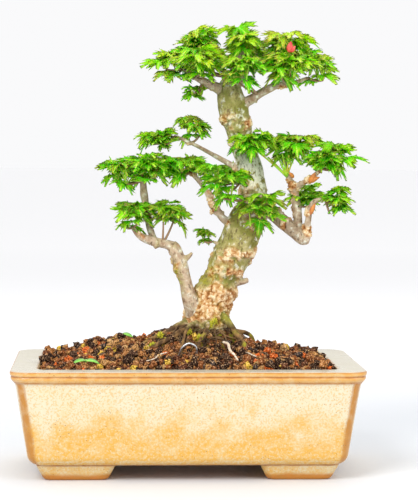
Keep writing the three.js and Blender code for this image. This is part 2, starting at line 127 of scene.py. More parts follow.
@dataclass
class Surface:
    """Vertices with quads and triangles that index them, and one row of values per vertex."""

    vertices: Array
    quads: Index = field(default_factory=lambda: np.zeros((0, 4), np.int64))
    tris: Index = field(default_factory=lambda: np.zeros((0, 3), np.int64))
    values: dict[str, Array] = field(default_factory=dict)
    uv: Array | None = None

    @staticmethod
    def joined(parts: list["Surface"]) -> "Surface":
        """All the parts in one surface, with the values that the first part has.

        Args:
            parts: the surfaces, in order.

        Returns:
            One surface.
        """
        starts = np.cumsum([0] + [len(p.vertices) for p in parts[:-1]])
        return Surface(
            np.concatenate([p.vertices for p in parts]),
            np.concatenate([p.quads + s for p, s in zip(parts, starts)]),
            np.concatenate([p.tris + s for p, s in zip(parts, starts)]),
            {k: np.concatenate([p.values[k] for p in parts]) for k in parts[0].values},
            None if parts[0].uv is None else np.concatenate([p.uv for p in parts]),
        )

    def make(self, name: str, smooth: bool = True) -> bpy.types.Object:
        """A mesh object at the origin that holds this surface, its values and its UV map.

        Args:
            name: the name of the object and its mesh.
            smooth: whether its faces shade smoothly.

        Returns:
            The object, linked to the scene.
        """
        mesh = bpy.data.meshes.new(name)
        corners = np.concatenate([self.quads.ravel(), self.tris.ravel()]).astype(np.int32)
        sizes = np.concatenate([np.full(len(self.quads), 4), np.full(len(self.tris), 3)])
        mesh.vertices.add(len(self.vertices))
        mesh.vertices.foreach_set("co", self.vertices.astype(np.float32).ravel())
        mesh.loops.add(len(corners))
        mesh.loops.foreach_set("vertex_index", corners)
        mesh.polygons.add(len(sizes))
        mesh.polygons.foreach_set("loop_start", np.cumsum(np.r_[0, sizes[:-1]]).astype(np.int32))
        mesh.polygons.foreach_set("use_smooth", np.full(len(sizes), smooth))
        mesh.update(calc_edges=True)
        if self.uv is not None:
            layer = mesh.uv_layers.new(name="UVMap")
            layer.data.foreach_set("uv", self.uv[corners].astype(np.float32).ravel())
        write_values(mesh, self.values)
        obj = bpy.data.objects.new(name, mesh)
        bpy.context.scene.collection.objects.link(obj)
        return obj


def write_values(mesh: bpy.types.Mesh, values: dict[str, Array]) -> None:
    """Stores each row of values as a float attribute on the mesh's vertices."""
    for name, row in values.items():
        mesh.attributes.new(name, "FLOAT", "POINT").data.foreach_set("value", row.astype(np.float32))


def ring_quads(rings: int, sides: int, copies: int, stride: int) -> Index:
    """Quads between neighbouring closed rings, for copies of one tube whose vertices are stride apart.

    Args:
        rings: rings of each tube.
        sides: vertices of each ring.
        copies: number of tubes.
        stride: vertices from one tube to the next.

    Returns:
        (q, 4) indices.
    """
    i, j = np.meshgrid(np.arange(rings - 1), np.arange(sides), indexing="ij")
    a = i * sides + j
    b = i * sides + (j + 1) % sides
    one = np.stack([a, b, b + sides, a + sides], axis=-1).reshape(-1, 4)
    return (one[None] + (np.arange(copies) * stride)[:, None, None]).reshape(-1, 4)


def tubes(paths: Array, radii: Array, sides: int) -> Surface:
    """Round tubes of varying radius: ring point = path + r (cos a * side + sin a * other).

    side is the cross product of the tangent with the axis that the path runs along least, and other
    is the tangent's cross product with side. Each end closes on a pole.

    Args:
        paths: (k, m, 3) points of k tubes.
        radii: (k, m) radii.
        sides: points in each ring.

    Returns:
        The closed tubes.
    """
    count, rings, _ = paths.shape
    tangent = unit(np.gradient(paths, axis=1))
    chord = np.abs(tangent).max(axis=1)
    reference = np.eye(3)[np.argmin(chord, axis=1)][:, None, :]
    side = unit(np.cross(tangent, reference))
    other = np.cross(tangent, side)
    angle = np.arange(sides) / sides * 2 * math.pi
    spread = np.cos(angle)[:, None] * side[:, :, None] + np.sin(angle)[:, None] * other[:, :, None]
    shell = paths[:, :, None] + radii[:, :, None, None] * spread
    poles = np.stack([paths[:, 0], paths[:, -1]], axis=1)
    stride = rings * sides + 2
    vertices = np.concatenate([shell.reshape(count, -1, 3), poles], axis=1).reshape(-1, 3)
    j = np.arange(sides)
    first = np.stack([np.full(sides, rings * sides), (j + 1) % sides, j], axis=1)
    tip = (rings - 1) * sides
    last = np.stack([np.full(sides, rings * sides + 1), tip + j, tip + (j + 1) % sides], axis=1)
    caps = np.concatenate([first, last])
    tris = (caps[None] + (np.arange(count) * stride)[:, None, None]).reshape(-1, 3)
    return Surface(vertices, ring_quads(rings, sides, count, stride), tris)


def blades(spine: Array, normal: Array, width: Array, fold: Array, thick: float) -> Surface:
    """Thin leaf-like strips with a closed lens section: left edge, upper middle, right edge, lower middle.

    An edge stands at spine +- width * across + fold * width * normal, where across is the cross
    product of the normal with the spine's direction.

    Args:
        spine: (k, m, 3) middle lines.
        normal: (k, m, 3) upper sides.
        width: (k, m) half-widths.
        fold: (k, m) rise of the edges as a share of the half-width.
        thick: half the thickness at the middle.

    Returns:
        The closed strips, with a UV map: u across from 0 to 1 and v along from 0 to 1.
    """
    count, stations, _ = spine.shape
    ahead = unit(np.gradient(spine, axis=1))
    across = unit(np.cross(normal, ahead))
    up = unit(np.cross(ahead, across))
    lift = (fold * width)[..., None] * up
    arm = width[..., None] * across
    left, right = spine + arm + lift, spine - arm + lift
    ring = np.stack([left, spine + thick * up, right, spine - thick * up], axis=2)
    stride = stations * 4
    tip = stride - 4
    caps = np.array([[3, 2, 1, 0], [tip, tip + 1, tip + 2, tip + 3]])
    ends = (caps[None] + (np.arange(count) * stride)[:, None, None]).reshape(-1, 4)
    quads = np.concatenate([ring_quads(stations, 4, count, stride), ends])
    v = np.repeat(np.linspace(0, 1, stations), 4)
    uv = np.stack([np.tile([0.0, 0.5, 1.0, 0.5], stations), v], axis=1)
    return Surface(ring.reshape(-1, 3), quads, uv=np.tile(uv, (count, 1)))


def evaluated(obj: bpy.types.Object) -> bpy.types.Mesh:
    """A new mesh that holds obj with its modifiers applied."""
    graph = bpy.context.evaluated_depsgraph_get()
    return bpy.data.meshes.new_from_object(obj.evaluated_get(graph))


def column(mesh_part: object, name: str, width: int) -> Array:
    """One property of all a mesh's vertices or corners as a (n, width) array.

    Args:
        mesh_part: a collection such as the mesh's vertices.
        name: the property.
        width: how many numbers it holds.

    Returns:
        (n, width) values.
    """
    flat = np.zeros(len(mesh_part) * width, np.float32)
    mesh_part.foreach_get(name, flat)
    return flat.reshape(-1, width).astype(float)


# ------------------------------------------------------------------ materials


class Shader:
    """One material: makes nodes, links sockets and keeps the Principled shader at hand."""

    def __init__(self, name: str) -> None:
        """Starts a material that holds only a Principled shader and its output."""
        self.material = bpy.data.materials.new(name)
        self.material.use_nodes = True
        self.tree = self.material.node_tree
        self.principled = self.tree.nodes["Principled BSDF"]

    def node(self, kind: str, inputs: dict | None = None, **settings: object) -> bpy.types.Node:
        """A new node with its settings, and inputs given as values or as sockets to link.

        Args:
            kind: the node type.
            inputs: values or sockets by input name or number.
            settings: properties of the node.

        Returns:
            The node.
        """
        made = self.tree.nodes.new(kind)
        for key, value in settings.items():
            setattr(made, key, value)
        for key, value in (inputs or {}).items():
            if isinstance(value, bpy.types.NodeSocket):
                self.tree.links.new(value, made.inputs[key])
            else:
                made.inputs[key].default_value = value
        return made

    def place(self) -> bpy.types.NodeSocket:
        """The point's own coordinates on the piece, in metres."""
        return self.node("ShaderNodeTexCoord").outputs["Object"]

    def value(self, name: str) -> bpy.types.NodeSocket:
        """A float attribute of the piece."""
        return self.node("ShaderNodeAttribute", attribute_name=name).outputs["Fac"]

    def noise(self, vector: bpy.types.NodeSocket, scale: float, detail: float = 4.0) -> bpy.types.NodeSocket:
        """Fractal noise from 0 to 1 at scale features per metre."""
        inputs = {"Vector": vector, "Scale": scale, "Detail": detail}
        return self.node("ShaderNodeTexNoise", inputs).outputs["Fac"]

    def stretched(self, vector: bpy.types.NodeSocket, scale: Colour) -> bpy.types.NodeSocket:
        """The vector scaled along each axis."""
        return self.node("ShaderNodeMapping", {"Vector": vector, "Scale": scale}).outputs["Vector"]

    def ramp(self, factor: bpy.types.NodeSocket, stops: list, stepped: bool = False) -> bpy.types.NodeSocket:
        """A colour ramp over the factor, from (position, colour or grey) stops.

        Args:
            factor: the socket to read.
            stops: (position, colour or grey) pairs in order.
            stepped: holds each colour up to the next stop.

        Returns:
            The colour socket.
        """
        made = self.node("ShaderNodeValToRGB", {"Fac": factor})
        made.color_ramp.interpolation = "CONSTANT" if stepped else "LINEAR"
        elements = made.color_ramp.elements
        while len(elements) < len(stops):
            elements.new(0.5)
        for element, (position, colour) in zip(elements, stops):
            element.position = position
            shade = (colour,) * 3 if isinstance(colour, (int, float)) else colour
            element.color = (*shade, 1.0)
        return made.outputs["Color"]

    def mix(self, factor: object, a: object, b: object) -> bpy.types.NodeSocket:
        """Colour a turned into b by the factor.

        Args:
            factor: a value or a socket from 0 to 1.
            a: the colour or socket at 0.
            b: the colour or socket at 1.

        Returns:
            The colour socket.
        """
        made = self.node("ShaderNodeMix", data_type="RGBA")
        for index, value in ((0, factor), (6, a), (7, b)):
            if isinstance(value, bpy.types.NodeSocket):
                self.tree.links.new(value, made.inputs[index])
            else:
                made.inputs[index].default_value = (*value, 1.0) if isinstance(value, tuple) else value
        return made.outputs[2]

    def math(self, operation: str, a: object, b: object = 0.0) -> bpy.types.NodeSocket:
        """Arithmetic on two values, held between 0 and 1."""
        return self.node("ShaderNodeMath", {0: a, 1: b}, operation=operation, use_clamp=True).outputs[0]

    def relief(self, vector: bpy.types.NodeSocket, coarse: float, fine: float) -> bpy.types.NodeSocket:
        """The height that the shared relief group gives at two scales.

        Args:
            vector: the place.
            coarse: swells per metre.
            fine: grains per metre.

        Returns:
            The height socket.
        """
        made = self.node("ShaderNodeGroup", node_tree=relief_group())
        self.tree.links.new(vector, made.inputs["Vector"])
        made.inputs["Coarse"].default_value = coarse
        made.inputs["Fine"].default_value = fine
        return made.outputs["Height"]

    def finish(
        self, colour: object, rough: object, height: object = None, depth: float = 0.0
    ) -> bpy.types.Material:
        """Links or sets the colour and roughness, and turns a height into bump depth metres deep.

        Args:
            colour: the base colour, as a value or a socket.
            rough: the roughness, as a value or a socket.
            height: the socket of the relief, if it has one.
            depth: how deep the relief is, in metres.

        Returns:
            The finished material.
        """
        for name, value in (("Base Color", colour), ("Roughness", rough)):
            socket = self.principled.inputs[name]
            if isinstance(value, bpy.types.NodeSocket):
                self.tree.links.new(value, socket)
            else:
                socket.default_value = (*value, 1.0) if isinstance(value, tuple) else value
        if height is not None:
            bump = self.node("ShaderNodeBump", {"Height": height, "Distance": depth})
            self.tree.links.new(bump.outputs["Normal"], self.principled.inputs["Normal"])
        return self.material


def relief_group() -> bpy.types.NodeTree:
    """The shared surface relief: soft swells and small grains in one height, made once."""
    name = "surface_relief"
    if name in bpy.data.node_groups:
        return bpy.data.node_groups[name]
    tree = bpy.data.node_groups.new(name, "ShaderNodeTree")
    tree.interface.new_socket("Vector", in_out="INPUT", socket_type="NodeSocketVector")
    tree.interface.new_socket("Coarse", in_out="INPUT", socket_type="NodeSocketFloat")
    tree.interface.new_socket("Fine", in_out="INPUT", socket_type="NodeSocketFloat")
    tree.interface.new_socket("Height", in_out="OUTPUT", socket_type="NodeSocketFloat")
    source = tree.nodes.new("NodeGroupInput")
    result = tree.nodes.new("NodeGroupOutput")
    layers = []
    for socket, detail in (("Coarse", 3.0), ("Fine", 6.0)):
        noise = tree.nodes.new("ShaderNodeTexNoise")
        noise.inputs["Detail"].default_value = detail
        tree.links.new(source.outputs["Vector"], noise.inputs["Vector"])
        tree.links.new(source.outputs[socket], noise.inputs["Scale"])
        layers.append(noise.outputs["Fac"])
    total = tree.nodes.new("ShaderNodeMath")
    total.operation = "MULTIPLY_ADD"
    total.inputs[1].default_value = 0.45
    tree.links.new(layers[1], total.inputs[0])
    tree.links.new(layers[0], total.inputs[2])
    tree.links.new(total.outputs[0], result.inputs["Height"])
    return tree


@dataclass(frozen=True)
class GlazeFinish:
    """A glossy cream glaze that turns golden low on the wall and breaks to ochre and brown on its edges, with
    painted shade in the brown lines under the lip and at the joint over the feet, and a painted highlight
    along the wall's hem.
    """

    pale: Colour = (0.61, 0.54, 0.38)
    cream: Colour = (0.60, 0.50, 0.29)
    golden: Colour = (0.60, 0.33, 0.045)
    ochre: Colour = (0.60, 0.30, 0.055)
    band: Colour = (0.42, 0.175, 0.018)
    lip: Colour = (0.51, 0.47, 0.37)
    brown: Colour = (0.36, 0.125, 0.018)
    clay: Colour = (0.47, 0.17, 0.02)
    iron: Colour = (0.22, 0.10, 0.03)

    def material(self) -> bpy.types.Material:
        """Reads the pot's values: low, face, band, line, lip and bare."""
        sh = Shader("glaze")
        place = sh.place()
        broad = sh.noise(place, 34.0, 5.0)
        patchy = sh.noise(place, 120.0, 5.0)
        salt = sh.noise(place, 620.0, 3.0)
        low = sh.value("low")
        body = sh.mix(sh.ramp(low, [(0.0, 0.0), (0.5, 1.0)]), self.pale, self.cream)
        drift = sh.math("ADD", low, sh.ramp(broad, [(0.32, -0.28), (0.68, 0.22)]))
        flecked = sh.ramp(sh.noise(place, 330.0, 5.0), [(0.36, 0.50), (0.58, 1.0)])
        rusty = sh.math("MULTIPLY", sh.ramp(drift, [(0.38, 0.0), (0.88, 1.0)]), flecked)
        body = sh.mix(rusty, body, self.golden)
        body = sh.mix(sh.ramp(salt, [(0.40, 0.50), (0.49, 0.0)]), body, self.ochre)
        body = sh.mix(sh.ramp(salt, [(0.54, 0.0), (0.66, 0.5)]), body, self.pale)
        face = sh.math("MULTIPLY", sh.value("face"), sh.ramp(patchy, [(0.34, 0.62), (0.58, 1.0)]))
        body = sh.mix(face, body, self.ochre)
        band = sh.math("MULTIPLY", sh.value("band"), sh.ramp(patchy, [(0.30, 0.70), (0.52, 1.0)]))
        body = sh.mix(band, body, self.band)
        worn = sh.ramp(patchy, [(0.60, 0.0), (0.80, 0.5)])
        body = sh.mix(sh.value("lip"), body, sh.mix(worn, self.lip, self.cream))
        # The brown lines are darker glaze at the lip's groove, under its top and round the corner bands, and
        # painted shade under the lip and at the joint over the feet.
        line = sh.math("MULTIPLY", sh.value("line"), sh.ramp(patchy, [(0.30, 0.55), (0.55, 1.0)]))
        body = sh.mix(line, body, self.brown)
        dots = sh.node("ShaderNodeTexVoronoi", {"Vector": place, "Scale": 270.0}).outputs["Distance"]
        strewn = sh.ramp(broad, [(0.42, 0.3), (0.6, 1.0)])
        specks = sh.math("MULTIPLY", sh.ramp(dots, [(0.07, 1.0), (0.15, 0.0)]), strewn)
        body = sh.mix(specks, body, self.iron)
        bare = sh.value("bare")
        clay = sh.mix(sh.ramp(patchy, [(0.3, 0.0), (0.7, 1.0)]), self.clay, self.band)
        colour = sh.mix(bare, body, clay)
        rough = sh.mix(bare, sh.ramp(broad, [(0.3, 0.22), (0.7, 0.36)]), (0.6, 0.6, 0.6))
        return sh.finish(colour, rough, sh.relief(place, 45.0, 420.0), 0.0005)


@dataclass(frozen=True)
class BarkFinish:
    """Olive and cream maple bark with white flakes, more of them as painted light where the pads shade the
    trunk, knobbly rust burrs with painted shade in their hollows and painted highlights on their cream tops,
    and brown root bark.
    """

    olive: Colour = (0.20, 0.195, 0.034)
    cream: Colour = (0.45, 0.39, 0.17)
    white: Colour = (0.72, 0.71, 0.58)
    tan: Colour = (0.47, 0.36, 0.25)
    brown: Colour = (0.27, 0.16, 0.089)
    dark: Colour = (0.096, 0.056, 0.026)
    root: Colour = (0.07, 0.036, 0.014)
    earthy: Colour = (0.27, 0.15, 0.055)
    green: Colour = (0.30, 0.27, 0.022)
    # Colours along the knob height: the dark brown of the hollows is painted shade and the cream of the lump
    # tops is painted highlight, with rust and orange burr bark between.
    knobs: tuple[tuple[float, Colour], ...] = (
        (0.16, (0.09, 0.03, 0.008)), (0.36, (0.33, 0.125, 0.03)), (0.55, (0.47, 0.24, 0.09)),
        (0.74, (0.62, 0.41, 0.21)), (0.96, (0.80, 0.66, 0.45)),
    )

    def material(self) -> bpy.types.Material:
        """Reads the wood's values: burr, knob, root, moss, crease, young and white."""
        sh = Shader("bark")
        place = sh.place()
        along = sh.stretched(place, (1.0, 1.0, 0.45))
        streaks = sh.noise(along, 420.0, 5.0)
        broad = sh.noise(place, 52.0, 4.0)
        patchy = sh.noise(place, 190.0, 6.0)
        fine = sh.noise(place, 900.0, 4.0)
        body = sh.mix(sh.ramp(broad, [(0.40, 0.0), (0.60, 1.0)]), self.olive, self.cream)
        body = sh.mix(sh.ramp(patchy, [(0.40, 0.55), (0.52, 0.0)]), body, self.olive)
        twigs = sh.mix(sh.ramp(patchy, [(0.32, 0.8), (0.50, 0.0)]), self.tan, self.brown)
        body = sh.mix(sh.value("young"), body, twigs)
        # Flakes crowd where the white value is high: partly whitish bark, partly painted light on the trunk
        # where the pads shade it.
        flakes = sh.math("ADD", patchy, sh.math("MULTIPLY", sh.value("white"), 0.20))
        body = sh.mix(sh.ramp(flakes, [(0.56, 0.0), (0.66, 0.9)]), body, self.white)
        body = sh.mix(sh.ramp(streaks, [(0.34, 0.7), (0.43, 0.0)]), body, self.dark)
        coarse = sh.ramp(patchy, [(0.35, 0.0), (0.65, 0.26)])
        grit = sh.math("ADD", sh.ramp(fine, [(0.35, 0.0), (0.65, 0.30)]), coarse)
        knob = sh.math("MULTIPLY", sh.value("knob"), 0.72)
        speckled = sh.math("ADD", knob, sh.math("SUBTRACT", grit, 0.16))
        # The burrs take their colour from the knob height: painted shade in the hollows between lumps,
        # painted highlight on their tops.
        body = sh.mix(sh.value("burr"), body, sh.ramp(speckled, list(self.knobs)))
        rooty = sh.mix(sh.ramp(patchy, [(0.42, 0.0), (0.62, 1.0)]), self.root, self.earthy)
        body = sh.mix(sh.value("root"), body, rooty)
        tint = sh.math("MULTIPLY", sh.value("moss"), sh.ramp(patchy, [(0.38, 0.15), (0.56, 1.0)]))
        body = sh.mix(tint, body, self.green)
        body = sh.mix(sh.value("crease"), body, self.dark)
        sh.principled.inputs["Specular IOR Level"].default_value = 0.25
        return sh.finish(body, 0.8, sh.relief(place, 380.0, 1100.0), 0.0013)


@dataclass(frozen=True)
class EarthFinish:
    """Fired clay and bark granules, each of one tone, with pores; and the dark fines between them."""

    tones: tuple[tuple[float, Colour], ...] = (
        (0.00, (0.030, 0.012, 0.007)), (0.19, (0.27, 0.085, 0.022)), (0.37, (0.13, 0.04, 0.018)),
        (0.50, (0.40, 0.16, 0.045)), (0.66, (0.075, 0.035, 0.02)), (0.76, (0.50, 0.25, 0.08)),
        (0.86, (0.055, 0.045, 0.045)), (0.91, (0.62, 0.36, 0.14)), (0.945, (0.72, 0.14, 0.02)),
        (0.975, (0.78, 0.50, 0.06)),
    )
    soot: Colour = (0.018, 0.008, 0.004)
    dust: Colour = (0.72, 0.46, 0.26)
    moss: Colour = (0.26, 0.28, 0.012)

    def granules(self) -> bpy.types.Material:
        """Reads the granules' tone."""
        sh = Shader("granule")
        place = sh.place()
        base = sh.ramp(sh.value("tone"), list(self.tones), stepped=True)
        pores = sh.noise(place, 760.0, 6.0)
        shaded = sh.mix(sh.ramp(pores, [(0.38, 0.95), (0.52, 0.0)]), base, self.soot)
        dusted = sh.mix(sh.ramp(pores, [(0.55, 0.0), (0.68, 0.75)]), shaded, self.dust)
        sh.principled.inputs["Specular IOR Level"].default_value = 0.12
        return sh.finish(dusted, 0.9, sh.relief(place, 420.0, 1300.0), 0.0016)

    def fines(self) -> bpy.types.Material:
        """The dark bed under the granules, with moss on the matted root ball; reads the bed's matted."""
        sh = Shader("fines")
        place = sh.place()
        grains = sh.noise(place, 420.0, 6.0)
        body = sh.mix(sh.ramp(grains, [(0.40, 0.0), (0.66, 1.0)]), self.soot, (0.25, 0.10, 0.035))
        tufts = sh.ramp(sh.noise(place, 130.0, 5.0), [(0.52, 0.0), (0.60, 1.0)])
        body = sh.mix(sh.math("MULTIPLY", tufts, sh.value("matted")), body, self.moss)
        sh.principled.inputs["Specular IOR Level"].default_value = 0.12
        return sh.finish(body, 0.95, sh.relief(place, 300.0, 1300.0), 0.0022)


@dataclass(frozen=True)
class LeafFinish:
    """A crinkled leaf: deep to vivid green and yellower when young by its tone, which also holds painted
    shade and painted light; paler veins and russet teeth at the tips.
    """

    name: str = "leaf"
    deep: Colour = (0.03, 0.60, 0.002)
    vivid: Colour = (0.15, 0.97, 0.004)
    young: Colour = (0.50, 1.0, 0.02)
    vein: Colour = (0.56, 1.0, 0.10)
    russet: Colour = (0.60, 0.30, 0.05)
    ribs: float = 9.0
    sheen: float = 0.12
    glow: float = 0.75
    glow_radius: Colour = (0.50, 1.2, 0.12)
    glow_scale: float = 2.0 * MM
    depth: float = 0.5 * MM

    def material(self) -> bpy.types.Material:
        """Reads the leaves' tone and blush, and the UV map that runs across and along each lobe."""
        sh = Shader(self.name)
        uv = sh.node("ShaderNodeTexCoord").outputs["UV"]
        place = sh.place()
        parts = sh.node("ShaderNodeSeparateXYZ", {"Vector": uv})
        along = parts.outputs["Y"]
        off_middle = parts.outputs["X"]
        slant = {0: off_middle, 1: -0.55, 2: along}
        lean = sh.node("ShaderNodeMath", slant, operation="MULTIPLY_ADD").outputs[0]
        comb = sh.node("ShaderNodeMath", {0: lean, 1: self.ribs}, operation="MULTIPLY").outputs[0]
        tooth = sh.node("ShaderNodeMath", {0: comb, 1: 1.0}, operation="PINGPONG").outputs[0]
        blotch = sh.noise(place, 160.0, 3.0)
        tone = sh.value("tone")
        body = sh.mix(tone, self.deep, self.vivid)
        body = sh.mix(sh.ramp(tone, [(0.62, 0.0), (1.0, 1.0)]), body, self.young)
        body = sh.mix(sh.ramp(blotch, [(0.50, 0.0), (0.72, 0.4)]), body, self.young)
        body = sh.mix(sh.ramp(blotch, [(0.28, 0.6), (0.46, 0.0)]), body, self.deep)
        veins = sh.ramp(tooth, [(0.0, 0.4), (0.16, 0.0)])
        rib = sh.ramp(off_middle, [(0.02, 0.75), (0.07, 0.0)])
        body = sh.mix(sh.math("MAXIMUM", veins, rib), body, self.vein)
        edge = sh.ramp(off_middle, [(0.30, 0.0), (0.50, 1.0)])
        tip = sh.ramp(along, [(0.55, 0.0), (0.98, 1.0)])
        fringe = sh.math("MAXIMUM", tip, sh.math("MULTIPLY", edge, along))
        warm = sh.math("MULTIPLY", fringe, sh.value("blush"))
        body = sh.mix(warm, body, self.russet)
        sh.principled.inputs["Specular IOR Level"].default_value = self.sheen
        sh.principled.inputs["Subsurface Weight"].default_value = self.glow
        sh.principled.inputs["Subsurface Radius"].default_value = self.glow_radius
        sh.principled.inputs["Subsurface Scale"].default_value = self.glow_scale
        return sh.finish(body, sh.ramp(blotch, [(0.3, 0.34), (0.7, 0.5)]), tooth, self.depth)


@dataclass(frozen=True)
class StalkFinish:
    """Lime-green leaf stalks, and brown young wood where the shoots branch."""

    lime: Colour = (0.32, 0.66, 0.03)
    amber: Colour = (0.55, 0.52, 0.05)
    brown: Colour = (0.26, 0.15, 0.07)

    def material(self) -> bpy.types.Material:
        """Reads the stalks' woody value."""
        sh = Shader("stalk")
        place = sh.place()
        spots = sh.ramp(sh.noise(place, 160.0), [(0.42, 0.0), (0.62, 1.0)])
        fresh = sh.mix(spots, self.lime, self.amber)
        return sh.finish(sh.mix(sh.value("woody"), fresh, self.brown), 0.5, spots, 0.0002)


@dataclass(frozen=True)
class PlainFinish:
    """One tone with soft mottling and a light grain."""

    name: str
    light: Colour
    shade: Colour
    rough: float
    mottle: float = 300.0
    metal: float = 0.0
    depth: float = 0.0002

    def material(self) -> bpy.types.Material:
        """Mixes the two tones by noise."""
        sh = Shader(self.name)
        place = sh.place()
        spots = sh.ramp(sh.noise(place, self.mottle), [(0.35, 0.0), (0.65, 1.0)])
        sh.principled.inputs["Metallic"].default_value = self.metal
        return sh.finish(sh.mix(spots, self.light, self.shade), self.rough, spots, self.depth)


# ------------------------------------------------------------------ pot


def rounded_outline(half_x: Array, half_y: Array, radius: Array, corner_steps: int, straight: tuple) -> Array:
    """Rectangles with round corners: arcs of the radius joined by straight runs, counter-clockwise.

    Args:
        half_x: (r,) half-lengths.
        half_y: (r,) half-depths.
        radius: (r,) corner radii.
        corner_steps: spans in each corner's quarter circle.
        straight: spans along each side that runs in x, and in y.

    Returns:
        (r, n, 2) outlines, all starting at the same place.
    """
    rows = []
    for corner, (sx, sy) in enumerate(((1, 1), (-1, 1), (-1, -1), (1, -1))):
        angle = (corner + np.arange(corner_steps + 1) / corner_steps) * math.pi / 2
        x = sx * (half_x - radius)[:, None] + radius[:, None] * np.cos(angle)
        y = sy * (half_y - radius)[:, None] + radius[:, None] * np.sin(angle)
        rows.append(np.stack([x, y], axis=-1))
    runs = []
    for corner in range(4):
        start, end = rows[corner][:, -1:], rows[(corner + 1) % 4][:, :1]
        share = (np.arange(1, straight[corner % 2]) / straight[corner % 2])[None, :, None]
        runs += [rows[corner], start + (end - start) * share]
    return np.concatenate(runs, axis=1)


def closed_profile(outline: Array, heights: Array) -> Surface:
    """Skins stacked outlines (r, n, 2) at heights (r,) or (r, n), and closes both ends on poles.

    Args:
        outline: (r, n, 2) places of each ring.
        heights: the height of each ring or of each vertex.

    Returns:
        The closed skin.
    """
    rings, sides, _ = outline.shape
    level = np.broadcast_to(heights[:, None] if heights.ndim == 1 else heights, (rings, sides))
    shell = np.concatenate([outline, level[..., None]], axis=-1)
    poles = np.stack([shell[0].mean(axis=0), shell[-1].mean(axis=0)])
    j = np.arange(sides)
    tip = (rings - 1) * sides
    first = np.stack([np.full(sides, rings * sides), (j + 1) % sides, j], axis=1)
    last = np.stack([np.full(sides, rings * sides + 1), tip + j, tip + (j + 1) % sides], axis=1)
    vertices = np.concatenate([shell.reshape(-1, 3), poles])
    return Surface(vertices, ring_quads(rings, sides, 1, 0), np.concatenate([first, last]))


